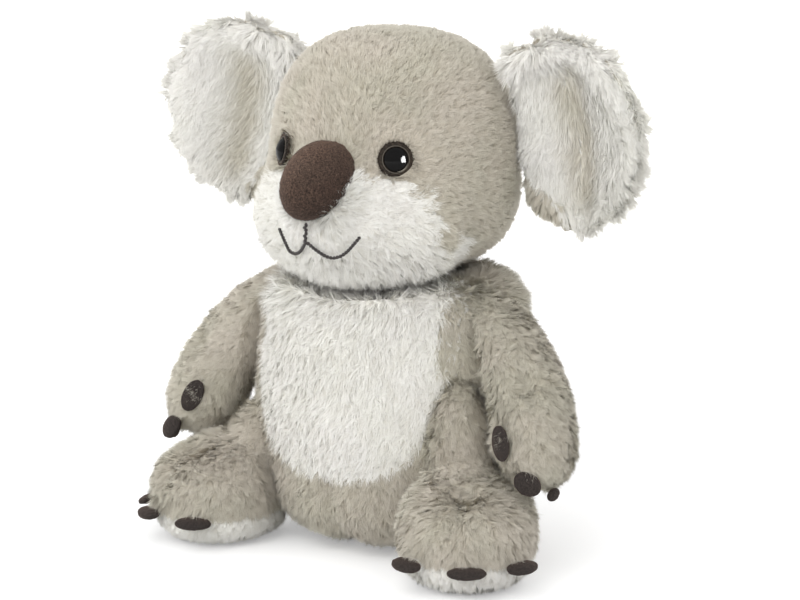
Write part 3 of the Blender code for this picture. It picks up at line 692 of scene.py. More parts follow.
def random_roots(item, count, random):
    """Points spread evenly over a skin, its smooth normals there, and a way to mix the
    values of its vertices at those points."""
    mesh = item.data
    mesh.calc_loop_triangles()
    points, normals = points_of(mesh), normals_of(mesh)
    faces = np.empty(len(mesh.loop_triangles) * 3, dtype=np.int32)
    mesh.loop_triangles.foreach_get("vertices", faces)
    faces = faces.reshape(-1, 3)
    corners = points[faces]
    areas = np.linalg.norm(np.cross(corners[:, 1] - corners[:, 0], corners[:, 2] - corners[:, 0]),
                           axis=1) / 2
    chosen = faces[random.choice(len(faces), count, p=areas / areas.sum())]
    first, second = random.random(count), random.random(count)
    over = first + second > 1
    first[over], second[over] = 1 - first[over], 1 - second[over]
    shares = np.stack([1 - first - second, first, second], axis=1)

    def at_roots(values):
        return np.einsum("ij,ij...->i...", shares, np.asarray(values)[chosen])

    return at_roots(points), unit(at_roots(normals)), at_roots


def clumps_of(roots, size, seed):
    """For each root the number of its clump: cells of space with wavy walls."""
    wavy = roots + wave_vectors(roots, size * 2.4, seed) * size * 0.45
    cells = np.floor(wavy / size).astype(np.int64)
    cells -= cells.min(0)
    keys = (cells[:, 0] * 4096 + cells[:, 1]) * 4096 + cells[:, 2]
    return np.unique(keys, return_inverse=True)[1].ravel()


def clump_means(values, near):
    """The mean over each clump of a row of numbers for each root."""
    counts = np.bincount(near)
    return np.stack([np.bincount(near, column) / counts for column in values.T], axis=1)


def comb(roots, normals, style, random):
    """The base and tip of each strand, and its tone, from its style."""
    count = len(roots)
    near = clumps_of(roots, style["clump"], int(random.integers(1000)))
    clumps = near.max() + 1
    home, clump_up = clump_means(roots, near), unit(clump_means(normals, near))
    sway = random.normal(size=(clumps, 3)) * style["sway"]
    clump_way = flat_to(unit(clump_means(style["way"], near)) + sway, clump_up)
    own = flat_to(clump_way[near] + random.normal(size=(count, 3)) * style["spread"], normals)
    clump_length = random.uniform(-1, 1, clumps)[near] * style["ragged"] + 1
    length = style["length"] * clump_length * random.uniform(0.75, 1.08, count)
    clump_lift = random.normal(size=clumps)[near] * style["rough"]
    stray = random.random(count) < style["stray"]
    lift = style["lift"] + clump_lift
    own_lift = np.clip(lift + random.normal(size=count) * 0.08 + stray * 0.35, 0.08, 1.4)
    pull = np.where(stray, 0.1, style["pull"])[:, None]

    def tip(start, ways, ups, lifts):
        return start + length[:, None] * (ups * np.sin(lifts)[:, None] + ways * np.cos(lifts)[:, None])

    end = tip(roots, own, normals, own_lift)
    clump_end = tip(home[near], clump_way[near], clump_up[near], lift)
    end += (clump_end - end) * pull
    end[:, 2] -= length * style["droop"]
    tone = random.normal(size=clumps)[near] * style["patchy"] + random.normal(size=count) * 0.06
    return roots - normals * 0.0004, end, np.clip(0.90 + tone + style["tone"], 0, 1)


def strand_mesh(name, start, end, tone, normals, shading, width, random):
    """Flat pointed strands, rolled at random, that face outward."""
    count = len(start)
    way = unit(end - start)
    side = unit(np.cross(way, normals) + 1e-9)
    roll = random.uniform(-0.5, 0.5, count)[:, None]
    side = unit(side * np.cos(roll) + np.cross(way, side) * np.sin(roll))
    face = np.cross(side, way)
    outward = np.where(dot(face, normals) < 0, -1.0, 1.0)[:, None]
    side, face = side * outward, face * outward
    half = (width * random.uniform(0.7, 1.2, count) / 2)[:, None] * side
    points = np.stack([start - half, start + half, end], axis=1).reshape(-1, 3)
    points[:, 2] = np.maximum(points[:, 2], 0.0003)
    mesh = bpy.data.meshes.new(name)
    mesh.vertices.add(count * 3)
    mesh.vertices.foreach_set("co", points.ravel())
    mesh.loops.add(count * 3)
    mesh.loops.foreach_set("vertex_index", np.arange(count * 3))
    mesh.polygons.add(count)
    mesh.polygons.foreach_set("loop_start", np.arange(count) * 3)
    mesh.update(calc_edges=True)
    along = np.tile([0.0, 0.0, 1.0], count).astype(np.float32)
    mesh.attributes.new("along", "FLOAT", "POINT").data.foreach_set("value", along)
    tones = np.repeat(tone, 3).astype(np.float32)
    mesh.attributes.new("tone", "FLOAT", "POINT").data.foreach_set("value", tones)
    columns = math.ceil(math.sqrt(count))
    cell = np.stack([np.arange(count) % columns, np.arange(count) // columns], axis=1)
    corners = np.array([[0.1, 0.1], [0.9, 0.1], [0.5, 0.9]])
    spots = (cell[:, None, :] + corners[None]) / columns
    mesh.uv_layers.new(name="OFBake").data.foreach_set("uv", spots.ravel().astype(np.float32))
    soft = np.repeat(unit(shading * 0.88 + face * 0.12), 3, axis=0).astype(np.float32)
    mesh.attributes.new("custom_normal", "FLOAT_VECTOR", "POINT").data.foreach_set(
        "vector", soft.ravel())
    return mesh


def fur_piece(name, body, material, roots, normals, style, width, seed):
    random = np.random.default_rng(seed)
    start, end, tone = comb(roots, normals, style, random)
    shading = style.get("shading", normals)
    mesh = strand_mesh(name, start, end, tone, normals, shading, width, random)
    mesh.materials.append(material)
    item = bpy.data.objects.new(name, mesh)
    scene.collection.objects.link(item)
    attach(item, body)
    return item


def base_style(roots, way, length, lift=0.40, clump=0.0018, pull=0.40, sway=0.48, spread=0.30,
               ragged=0.10, rough=0.08, stray=0.04, droop=0.0, patchy=0.12):
    """How strands grow: lengths in metres, lifts in radians, the rest as shares."""
    count = len(roots)
    return {"way": way, "length": np.full(count, length), "lift": np.full(count, lift),
            "pull": np.full(count, pull), "tone": np.zeros(count), "clump": clump, "sway": sway,
            "spread": spread, "ragged": ragged, "rough": rough, "stray": stray, "droop": droop,
            "patchy": patchy}


def shade_seams(style, roots, seams, width):
    """Shorter strands where a seam or tack pulls the fur in, darkened there as painted shade of the
    crease.
    """
    for line, _, _ in seams:
        near = 1 - smooth(0, width, line_distances(line, roots))
        # Painted shade in the crease along each seam, tack and thigh crease
        style["tone"] = style["tone"] - 0.55 * near
        style["length"] = style["length"] * (1 - 0.45 * near)
    return style


def nearness(first, second, points):
    """How much nearer points are to the first CAD nodes than to the second."""
    return distances(tree_of(*second), points) - distances(tree_of(*first), points)


def white_fields(first, second, points, flow):
    """Nearness to the white nodes at the points, and where strands from them end."""
    return nearness(first, second, points), nearness(first, second, points + flow * 0.0050)


def paint_skin(item, white_mask):
    """Store on the skin where it is white, and give it its material."""
    values = white_mask.astype(np.float32)
    item.data.attributes.new("white", "FLOAT", "POINT").data.foreach_set("value", values)
    item.data.materials.clear()
    item.data.materials.append(backing)


# Head

def head_roots_kept(roots):
    """No fur in the neck's socket, under an eye or under the nose."""
    kept = np.linalg.norm(roots - neck_pivot, axis=1) > 0.0505
    for middle, way in eyes.values():
        offset = roots - middle
        across = np.linalg.norm(offset - (offset @ way)[:, None] * way, axis=1)
        kept &= (across > eye_radius * 0.93) | (roots[:, 1] > 0)
    nose_size = np.array(nose_high - nose_low) / 2
    share = (roots - np.array(nose_middle)) / nose_size
    kept &= (np.hypot(share[:, 0], share[:, 2]) > 0.82) | (roots[:, 1] > -0.03)
    return kept


def head_flow(roots, normals):
    """Away from the nose over the face and crown, and down at the back."""
    source = np.array([0, nose_low.y, nose_middle.z - 0.004])
    radial = unit(roots - source)
    back = smooth(0.0, 0.035, roots[:, 1])[:, None]
    way = radial * (1 - back) + np.array([0, 0, -1.0]) * back
    for middle, _ in eyes.values():
        away = roots - middle
        far = np.linalg.norm(away, axis=1)
        push = 1.3 * (1 - smooth(eye_radius, eye_radius + 0.008, far))
        way = way + unit(away) * push[:, None]
    way = way + wave_vectors(roots, 0.030, 11) * 0.22
    return flat_to(way, normals)


def face_trim(style, roots, shortest):
    """Short flat strands beside the eyes and stitches, and short tufts round the nose."""
    near = smooth(0.0005, 0.0085, trim_distance(roots))
    style["length"] = shortest + (style["length"] - shortest) * near
    style["lift"] = style["lift"] * (0.75 + 0.25 * near)
    by_nose = 1 - smooth(0.0, 0.0045, nose_distance(roots))
    below = smooth(nose_middle.z + 0.008, nose_middle.z - 0.006, roots[:, 2])
    below *= smooth(0.003, 0.008, abs(roots[:, 0]))
    style["length"] = style["length"] * (1 - 0.20 * by_nose) + 0.0022 * by_nose * below
    style["lift"] = style["lift"] + (0.45 + 0.40 * below) * by_nose
    for middle, _ in eyes.values():
        edge = np.linalg.norm(roots - middle, axis=1) - eye_radius
        close = (1 - smooth(0.0008, 0.0030, edge)) * (roots[:, 1] < 0)
        style["length"] = style["length"] + 0.0016 * close
        style["lift"] = style["lift"] + 0.85 * close
    return style


neck_pivot = np.array([0, -0.00522, 0.09])


def make_head():
    random = np.random.default_rng(21)
    skin = make_skin("head_skin", ("head_cover", "muzzle_panel"), ("head_stuffing",),
                     head_depth_under)
    points, normals = points_of(skin.data), normals_of(skin.data)
    at_root, at_tip = white_fields(("muzzle_panel",), ("head_cover",), points,
                                   head_flow(points, normals))
    paint_skin(skin, at_root > 0)
    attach(skin, "head")
    roots, normals, at_roots = random_roots(skin, 230000, random)
    white = at_roots(np.minimum(at_root, at_tip)) + waves(roots, 0.004, 31) * 0.0006 > 0
    flow = head_flow(roots, normals)
    kept = head_roots_kept(roots)
    chin = smooth(-0.25, -0.80, normals[:, 2]) * smooth(-0.010, -0.030, roots[:, 1])
    for name, slot, material, mask, length, width, seed in (
            ("head_fur", "taupe_fur", taupe_fur, ~white & kept, 0.0052, 0.00038, 22),
            ("muzzle_fur", "white_fur", white_fur, white & kept, 0.0058, 0.00038, 23)):
        style = base_style(roots[mask], flow[mask], length, patchy=0.15)
        face_trim(style, roots[mask], 0.0020)
        style["length"] = style["length"] + 0.0030 * chin[mask]
        style["lift"] = style["lift"] + 0.25 * chin[mask]
        fur_piece(name, "head", material, roots[mask], normals[mask], style, width, seed)


# Torso

def free_height(tree, points, normals, most):
    """How far a point's normal runs before it meets the tree, up to the most."""
    free = []
    for point, normal in zip(points.tolist(), normals.tolist()):
        far = tree.ray_cast(point, normal, most)[3]
        free.append(most if far is None else far)
    return np.array(free)


def raise_chest(skin):
    """Push the chest's upper edge up into the room under the jaw."""
    points, normals = points_of(skin.data), normals_of(skin.data)
    free = free_height(head_tree, points, np.tile([0, 0, 1.0], (len(points), 1)), 0.022)
    top = smooth(0.10, 0.55, normals[:, 2]) * smooth(0.094, 0.106, points[:, 2])
    points[:, 2] += np.clip(free - 0.0050, 0, 0.015) * 0.80 * top
    move_points(skin.data, points)


def make_torso():
    random = np.random.default_rng(41)
    skin = make_skin("torso_skin", ("torso_cover", "belly_panel"), ("torso_stuffing",),
                     even_depth, torso_seams())
    raise_chest(skin)
    points, normals = points_of(skin.data), normals_of(skin.data)
    down = np.array([0, 0, -1.0])
    at_root, at_tip = white_fields(("belly_panel",), ("torso_cover",), points,
                                   flat_to(np.tile(down, (len(points), 1)), normals))
    throat = (points[:, 2] > 0.116) & (points[:, 1] < -0.02) & (abs(points[:, 0]) < 0.046)
    at_root, at_tip = np.where(throat, 0.01, at_root), np.where(throat, 0.01, at_tip)
    free = free_height(head_tree, points, normals, 0.012)
    paint_skin(skin, at_root > 0)
    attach(skin, "torso")
    roots, normals, at_roots = random_roots(skin, 210000, random)
    room = at_roots(free)
    kept = (room > 0.0040) & (random.random(len(roots)) < 0.25 + smooth(0.0008, 0.004, roots[:, 2]))
    white = at_roots(np.minimum(at_root, at_tip)) + waves(roots, 0.004, 51) * 0.0008
    white = white > 0.0066 * smooth(0.062, 0.110, roots[:, 2])
    flow = flat_to(down + wave_vectors(roots, 0.034, 43) * 0.25, normals)
    top = smooth(0.108, 0.122, roots[:, 2])
    for name, slot, material, mask, length, width, seed in (
            ("torso_fur", "taupe_fur", taupe_fur, ~white & kept, 0.0062, 0.00040, 44),
            ("belly_fur", "white_fur", white_fur, white & kept, 0.0066, 0.00042, 45)):
        style = base_style(roots[mask], flow[mask], length)
        style["length"] = style["length"] + 0.0020 * top[mask]
        style["length"] = np.minimum(style["length"], room[mask] * 1.1 + 0.0010)
        style["lift"] = style["lift"] + 0.22 * top[mask]
        shade_seams(style, roots[mask], torso_seams(), 0.0028)
        fur_piece(name, "torso", material, roots[mask], normals[mask], style, width, seed)


# Claws

def leaf_tab(node, body, longer=1.0, wider=1.0, thinner=1.0, sink=0.0010, slide=0.0, tilt=0.0):
    """A flat suede tab with a rounded tip and a sewn edge, where the CAD has the claw."""
    points, _ = welded_arrays(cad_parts[node].data)
    middle = points.mean(0)
    _, _, ways = np.linalg.svd(points - middle)
    spans = np.ptp((points - middle) @ ways.T, axis=0)
    tip_way = ways[0] if ways[0][2] < 0 else -ways[0]
    side_way = ways[1] if ways[1][0] * middle[0] > 0 else -ways[1]
    thick_way = ways[2]
    tip_way, side_way = (tip_way * math.cos(tilt) + side_way * math.sin(tilt),
                         side_way * math.cos(tilt) - tip_way * math.sin(tilt))
    outward = thick_way if thick_way @ (middle - body_middle(body)) > 0 else -thick_way
    middle = middle - outward * sink + tip_way * slide
    bm = bmesh.new()
    bmesh.ops.create_uvsphere(bm, u_segments=36, v_segments=28, radius=1)
    for vertex in bm.verts:
        share = vertex.co.z
        edge = math.hypot(vertex.co.x, share)
        rim = 1 - 0.16 * math.exp(-((edge - 0.80) / 0.05) ** 2)
        flat = math.copysign(abs(vertex.co.y) ** 0.75, vertex.co.y) * rim
        vertex.co = Vector(middle + tip_way * share * spans[0] * longer / 2
                           + side_way * vertex.co.x * spans[1] * wider / 2
                           + thick_way * flat * spans[2] * thinner / 2)
    bmesh.ops.recalc_face_normals(bm, faces=bm.faces)
    mesh = bpy.data.meshes.new(f"{node}_tab")
    bm.to_mesh(mesh)
    bm.free()
    points, normals = points_of(mesh), normals_of(mesh)
    points += normals * (waves(points, 0.0022, len(node)) * 0.00010)[:, None]
    move_points(mesh, points)
    mesh.shade_smooth()
    mesh.materials.append(claw_suede)
    item = bpy.data.objects.new(f"{node}_tab", mesh)
    scene.collection.objects.link(item)
    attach(item, body)
    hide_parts(node)
    return item


def body_middle(body):
    """The middle of a limb's cover."""
    low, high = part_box(body.replace("_", "_cover_"))
    return np.array((low + high) / 2)


def hand_claws(word):
    """The outer claw only just shows under the fur."""
    body = f"arm_{word}"
    return [leaf_tab(f"hand_claw_inner_{word}", body, 0.86, 0.72, 0.8, tilt=math.radians(20)),
            leaf_tab(f"hand_claw_middle_{word}", body, 0.95, 0.95, 0.8, 0.0014, 0.0010),
            leaf_tab(f"hand_claw_outer_{word}", body, 0.52, 0.36, 0.7, 0.0038, 0.0030)]


def foot_claws(word):
    return [leaf_tab(f"foot_claw_{place}_{word}", f"leg_{word}", thinner=0.62)
            for place in ("inner", "middle", "outer")]


def cover_claws(style, claws, roots):
    """Strands above a claw stand up over its upper edge."""
    for claw in claws:
        points = points_of(claw.data)
        middle = points.mean(0)
        reach = np.linalg.norm(points - middle, axis=1).max()
        offset = middle - roots
        far = np.linalg.norm(offset, axis=1)
        above = smooth(0.1, 0.6, dot(offset, style["way"]) / np.maximum(far, 1e-9))
        near = (1 - smooth(reach * 0.9, reach * 0.9 + 0.0050, far)) * above
        style["lift"] = style["lift"] + 0.42 * near
        style["length"] = style["length"] * (1 + 0.35 * near)
    return style


def clear_of(items, roots, clearance):
    """True for roots that aren't inside or right beside these pieces."""
    kept = np.ones(len(roots), dtype=bool)
    for item in items:
        mesh = item.data
        tree = BVHTree.FromPolygons([vertex.co for vertex in mesh.vertices],
                                    [polygon.vertices for polygon in mesh.polygons])
        middle = points_of(mesh).mean(0)
        size = np.linalg.norm(points_of(mesh) - middle, axis=1).max()
        for index in np.nonzero(np.linalg.norm(roots - middle, axis=1) < size)[0]:
            spot, normal, _, far = tree.find_nearest(roots[index])
            inside = normal.dot(Vector(roots[index]) - spot) < 0
            kept[index] &= not inside and far > clearance
    return kept


# Arms and legs

def make_arm(side, word):
    random = np.random.default_rng(61)
    body = f"arm_{word}"
    skin = make_skin(f"arm_skin_{word}", (f"arm_cover_{word}",), (f"arm_stuffing_{word}",),
                     even_depth, arm_seams(side))
    paint_skin(skin, np.zeros(len(skin.data.vertices)))
    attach(skin, body)
    claws = hand_claws(word)
    roots, normals, _ = random_roots(skin, 85000, random)
    kept = clear_of(claws, roots, 0.0003)
    roots, normals = roots[kept], normals[kept]
    shoulder = np.array([side * 0.046, -0.012, 0.116])
    paw = np.array([side * 0.0925, -0.032, 0.061])
    way = unit(np.array([paw - shoulder])) + wave_vectors(roots, 0.030, 63) * 0.30
    style = base_style(roots, flat_to(way, normals), 0.0062)
    shade_seams(style, roots, arm_seams(side), 0.0065)
    cover_claws(style, claws, roots)
    fur_piece(f"arm_fur_{word}", body, taupe_fur, roots, normals, style, 0.00042, 64)


def thigh_pad(side, word):
    """Where the wadding swells the thigh up beside the belly."""
    _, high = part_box(f"leg_cover_{word}")
    middle = (side * thigh_pad_out, -thigh_pad_forward, high.z + thigh_pad_rise - thigh_pad_size[2])
    return np.array(middle), np.array(thigh_pad_size)


def make_leg(side, word):
    random = np.random.default_rng(71)
    body = f"leg_{word}"
    skin = make_skin(f"leg_skin_{word}", (f"leg_cover_{word}", f"sole_{word}"),
                     (f"leg_stuffing_{word}",), leg_depth, leg_seams(side),
                     pad=thigh_pad(side, word))
    points = points_of(skin.data)
    paint_skin(skin, points[:, 2] < sole_fur_height)
    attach(skin, body)
    claws = foot_claws(word)
    roots, normals, _ = random_roots(skin, 105000, random)
    kept = clear_of(claws, roots, 0.0003)
    kept &= random.random(len(roots)) < 0.2 + smooth(0.0006, 0.004, roots[:, 2])
    roots, normals = roots[kept], normals[kept]
    toes = np.array([side * math.sin(foot_turn), -math.cos(foot_turn), 0])
    tack = np.array(mirrored(foot_tack, side))
    foot = (1 - smooth(0.040, 0.052, roots[:, 2]))[:, None]
    way = toes * 0.6 + np.array([0, 0, -0.8]) + unit(roots - tack) * foot * 1.2
    flow = flat_to(way + wave_vectors(roots, 0.028, 73) * 0.30, normals)
    white = roots[:, 2] + waves(roots, 0.006, 74) * 0.0008 < sole_fur_height
    for name, slot, material, mask, length, seed in (
            (f"leg_fur_{word}", "taupe_fur", taupe_fur, ~white, 0.0062, 75),
            (f"sole_fur_{word}", "white_fur", white_fur, white, 0.0068, 76)):
        style = base_style(roots[mask], flow[mask], length)
        if slot == "white_fur":
            style["shading"] = unit(normals[mask] + [0, 0, 0.6])
        low_down = 1 - smooth(sole_fur_height, sole_fur_height + 0.004, roots[mask][:, 2])
        style["length"] = style["length"] * (1 - 0.35 * low_down)
        style["lift"] = style["lift"] + 0.45 * (1 - smooth(0.006, 0.014, roots[mask][:, 2]))
        shade_seams(style, roots[mask], leg_seams(side), 0.0034)
        # Painted shade: darker from the thigh's height up, where the arm and belly shade the leg's top
        style["tone"] = style["tone"] - 0.22 * smooth(0.048, 0.060, roots[mask][:, 2])
        cover_claws(style, claws, roots[mask])
        fur_piece(name, body, material, roots[mask], normals[mask], style, 0.00042, seed)


# Ears

def ear_matrix(side):
    """From an ear's own axes (out, back, up) to the world."""
    turn = (Matrix.Rotation(-ear_yaw, 4, "Z") @ Matrix.Rotation(-ear_lean, 4, "Y")
            @ Matrix.Rotation(ear_pitch, 4, "X"))
    return Matrix.Scale(side, 4, Vector((1, 0, 0))) @ Matrix.Translation(ear_middle) @ turn


def ear_places(side, points):
    """Points in an ear's own axes, as shares of its width, depth and height."""
    inverse = np.array(ear_matrix(side).inverted())
    own = points @ inverse[:3, :3].T + inverse[:3, 3]
    return own[:, 0] / ear_width, own[:, 1], own[:, 2] / ear_height


def ear_ways(side, vectors):
    return vectors @ np.array(ear_matrix(side).to_3x3().inverted()).T


def ear_fields(side, points, normals):
    """Where points of an ear are: across and up as shares, how far they face the front,
    how deep in the hollow, and how much of the rim they are."""
    out, _, up = ear_places(side, points)
    facing = -ear_ways(side, normals)[:, 1]
    ends = smooth(-0.40, -0.24, up) * (1 - smooth(0.20, 0.36, up))
    hollow = np.exp(-((out - 0.02) / 0.095) ** 2) * ends
    rim = smooth(0.30, 0.46, np.hypot(out, up))
    return out, up, facing, hollow, rim


def ear_white(side, points, normals):
    """True on the white front of an ear; its lower inner edge shows the taupe back."""
    out, up, facing, _, _ = ear_fields(side, points, normals)
    edge = np.interp(up, [-0.56, -0.39, -0.25, -0.08, 0.24, 0.5],
                     [0.05, -0.06, -0.15, -0.38, -0.46, -0.34])
    edge = edge + waves(points, 0.008, 82) * 0.012
    reach = np.where(up > -0.25, -0.90, -0.60)
    return (facing > reach) & (out > edge)


def shape_ear(skin, side):
    """Sink the hollow, and raise the ridge beside it and the rolled inner edge."""
    points, normals = points_of(skin.data), normals_of(skin.data)
    out, up, facing, hollow, _ = ear_fields(side, points, normals)
    ridge = np.exp(-((out - 0.27) / 0.11) ** 2) * (1 - smooth(0.20, 0.42, abs(up)))
    roll = np.exp(-((out + 0.24 - 0.30 * np.maximum(-up, 0)) / 0.09) ** 2)
    roll *= 1 - smooth(0.34, 0.46, abs(up))
    backward = np.array(ear_matrix(side).to_3x3() @ Vector((0, 1, 0)))
    shift = smooth(0.1, 0.6, facing) * (hollow * 0.0030 - ridge * 0.0035 - roll * 0.0020)
    move_points(skin.data, points + backward * shift[:, None])


def make_ear(side, word):
    random = np.random.default_rng(81)
    body = f"ear_{word}"
    nodes = (f"ear_front_{word}", f"ear_back_{word}")
    skin = make_skin(f"ear_skin_{word}", nodes, (f"ear_wadding_{word}",),
                     even_depth)
    shape_ear(skin, side)
    paint_skin(skin, ear_white(side, points_of(skin.data), normals_of(skin.data)))
    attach(skin, body)
    roots, normals, _ = random_roots(skin, 130000, random)
    out, up, facing, hollow, rim = ear_fields(side, roots, normals)
    white = ear_white(side, roots, normals)
    own = np.array(ear_matrix(side).to_3x3())
    spread = np.stack([out, np.zeros(len(roots)), up - np.clip(up, -0.22, 0.22)], axis=1)
    radial = unit(spread @ own.T)
    down = own @ np.array([0.25, 0, -1.0])
    loose = (0.30 + 0.70 * smooth(0.55, 1.0, rim))[:, None]
    flow = flat_to(radial * loose + down * (1 - loose) + wave_vectors(roots, 0.022, 83) * 0.30,
                   normals)
    front, back = white, ~white
    style = base_style(roots[front], flow[front], 0.0080, lift=0.24, clump=0.0020, pull=0.30,
                       sway=0.22, spread=0.16, ragged=0.06, rough=0.06, patchy=0.04)
    forward = -own @ np.array([0, 1.0, 0])
    style["length"] = style["length"] + 0.0020 * rim[front]
    # In the hollow the strands are darker and beiger: partly the fur's own beige, partly painted shade
    # of the hollow
    style["tone"] = style["tone"] - 0.85 * hollow[front]
    own_share = 0.35 + 0.65 * smooth(0.30, -0.10, facing[front])[:, None]
    style["shading"] = unit(normals[front] * own_share + forward * (1 - own_share))
    fur_piece(f"ear_fur_{word}", body, white_fur, roots[front], normals[front],
              style, 0.00052, 84)
    style = base_style(roots[back], flow[back], 0.0075, clump=0.0024, sway=0.30, spread=0.22)
    style["length"] = style["length"] * (1 - 0.75 * smooth(0.34, 0.46, np.hypot(out, up)[back]))
    fur_piece(f"ear_back_fur_{word}", body, taupe_fur, roots[back], normals[back],
              style, 0.00048, 85)


# Face

def turned_form(name, profile, middle, way, sides_count=56):
    """A profile of (radius, height) turned about an axis."""
    bm = bmesh.new()
    verts = [bm.verts.new((radius, 0, height)) for radius, height in profile]
    edges = [bm.edges.new(pair) for pair in zip(verts[:-1], verts[1:])]
    bmesh.ops.spin(bm, geom=verts + edges, angle=math.tau, steps=sides_count, axis=(0, 0, 1),
                   cent=(0, 0, 0), use_merge=True)
    bmesh.ops.remove_doubles(bm, verts=bm.verts, dist=1e-6)
    bmesh.ops.recalc_face_normals(bm, faces=bm.faces)
    turn = Vector(way).to_track_quat("Z", "Y").to_matrix().to_4x4()
    bm.transform(Matrix.Translation(Vector(middle)) @ turn)
    mesh = bpy.data.meshes.new(name)
    bm.to_mesh(mesh)
    bm.free()
    mesh.shade_smooth()
    item = bpy.data.objects.new(name, mesh)
    scene.collection.objects.link(item)
    return item


def eye_heights(word):
    """How low and high an eye's rim reaches along the way that the eye looks."""
    middle, way = eyes[word]
    points, _ = welded_arrays(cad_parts[f"eye_rim_{word}"].data)
    heights = (points - middle) @ way
    return heights.min(), heights.max()


def dome_point(share):
    """Radius and height on the dome's spherical cap, from its middle, 0, to its edge, 1."""
    angle = math.asin(dome_radius / dome_bend) * share
    return dome_bend * math.sin(angle), dome_bend * (math.cos(angle) - 1) + dome_height


def make_eye(word):
    """A felt ring, a thin ring of lighter plastic that paints the flange edge's highlight, and a
    glossy dome.
    """
    middle, way = eyes[word]
    middle = middle - way * eye_sink
    low, high = eye_heights(word)
    inner = dome_radius * 0.7
    felt_profile = [(inner, high - 0.0006), (dome_radius, high - 0.0005),
                    (ring_radius, high - 0.0001), (eye_radius * 0.86, high + 0.0002),
                    (eye_radius * 0.95, high - 0.0001), (eye_radius, high - 0.0009),
                    (eye_radius, low), (inner, low), (inner, high - 0.0006)]
    felt = turned_form(f"eye_ring_{word}", felt_profile, middle, way)
    felt.data.materials.append(eye_felt)
    # The thin ring is a painted highlight, drawn in a lighter plastic
    highlight_ring_profile = []
    for i in range(13):
        angle = math.tau * i / 12
        highlight_ring_profile.append((ring_radius + ring_tube * math.cos(angle),
                             high + ring_tube * math.sin(angle)))
    ring = turned_form(f"eye_highlight_ring_{word}", highlight_ring_profile, middle, way)
    ring.data.materials.append(ring_highlight_plastic)
    base = high + 0.0001
    dome_profile = [(0.0018, low - 0.010), (0.0018, base), (dome_radius * 0.97, base)]
    for i in range(19):
        radius, height = dome_point(1 - i / 18)
        dome_profile.append((radius, base + 0.0003 + height))
    dome = turned_form(f"eye_dome_{word}", dome_profile, middle, way)
    dome.data.materials.append(black_plastic)
    for item, slot in ((felt, "brown_felt"), (ring, "black_plastic"), (dome, "black_plastic")):
        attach(item, "head")
    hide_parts(f"eye_rim_{word}")
    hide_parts(f"eye_{word}")


def make_eye_fuzz(word):
    """Short dark fibres that stand off the felt ring's edge."""
    random = np.random.default_rng(88)
    middle, way = eyes[word]
    middle = middle - way * eye_sink
    _, high = eye_heights(word)
    count = 1600
    turn = random.uniform(0, math.tau, count)
    first = unit(np.cross(way, [[0, 0, 1.0]]))[0]
    second = np.cross(way, first)
    radial = np.cos(turn)[:, None] * first + np.sin(turn)[:, None] * second
    far = random.uniform(0.82, 1.0, count)[:, None] * eye_radius
    roots = middle + radial * far + way * (high - 0.0002)
    normals = np.tile(way, (count, 1))
    style = base_style(roots, flat_to(radial, normals), 0.0011, clump=0.0008, sway=0.5)
    fur_piece(f"eye_fuzz_{word}", "head", felt_fuzz, roots, normals, style,
              0.00016, 89)


def make_nose():
    """A padded suede egg, pressed into the muzzle's fur."""
    points, faces = welded_arrays(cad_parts["nose"].data)
    item = new_object("nose_pad", points, faces)
    voxels = item.modifiers.new("voxels", "REMESH")
    voxels.mode = "VOXEL"
    voxels.voxel_size = 0.0012
    rounding = item.modifiers.new("rounding", "SMOOTH")
    rounding.factor = 0.5
    rounding.iterations = 14
    baked(item)
    points, normals = points_of(item.data), normals_of(item.data)
    back = smooth(0.2, 0.7, normals[:, 1])
    points[:, 1] += back * 0.0030
    points += normals * (waves(points, 0.0014, 92) * 0.00012 - 0.0002)[:, None]
    move_points(item.data, points)
    finer = item.modifiers.new("finer", "SUBSURF")
    finer.levels = 1
    baked(item)
    item.data.shade_smooth()
    item.data.materials.clear()
    item.data.materials.append(nose_suede_painted_light)
    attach(item, "head")
    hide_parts("nose")
    random = np.random.default_rng(93)
    roots, normals, _ = random_roots(item, 30000, random)
    kept = normals[:, 1] < 0.2
    roots, normals = roots[kept], normals[kept]
    offset = roots - np.array(nose_middle)
    # Painted light on the nap as on the suede: lighter towards the upper right, darker towards the
    # lower left
    lit = (offset[:, 2] * 0.66 - offset[:, 0] * 0.75) / nose_painted_light_reach
    down = np.tile([0.4, 0, -1.0], (len(roots), 1))
    style = base_style(roots, flat_to(down, normals), 0.0010, clump=0.0007, sway=0.8, patchy=0.32)
    style["tone"] = style["tone"] - 0.58 + 0.42 * np.clip(lit, -1, 1)
    fur_piece("nose_nap", "head", nose_nap, roots, normals, style, 0.00017, 94)


def resampled(line, step):
    line = np.array(line)
    lengths = np.linalg.norm(np.diff(line, axis=0), axis=1)
    runs = np.concatenate([[0], np.cumsum(lengths)])
    count = max(4, int(runs[-1] / step))
    spots = np.linspace(0, runs[-1], count)
    return np.stack([np.interp(spots, runs, line[:, i]) for i in range(3)], axis=1), spots


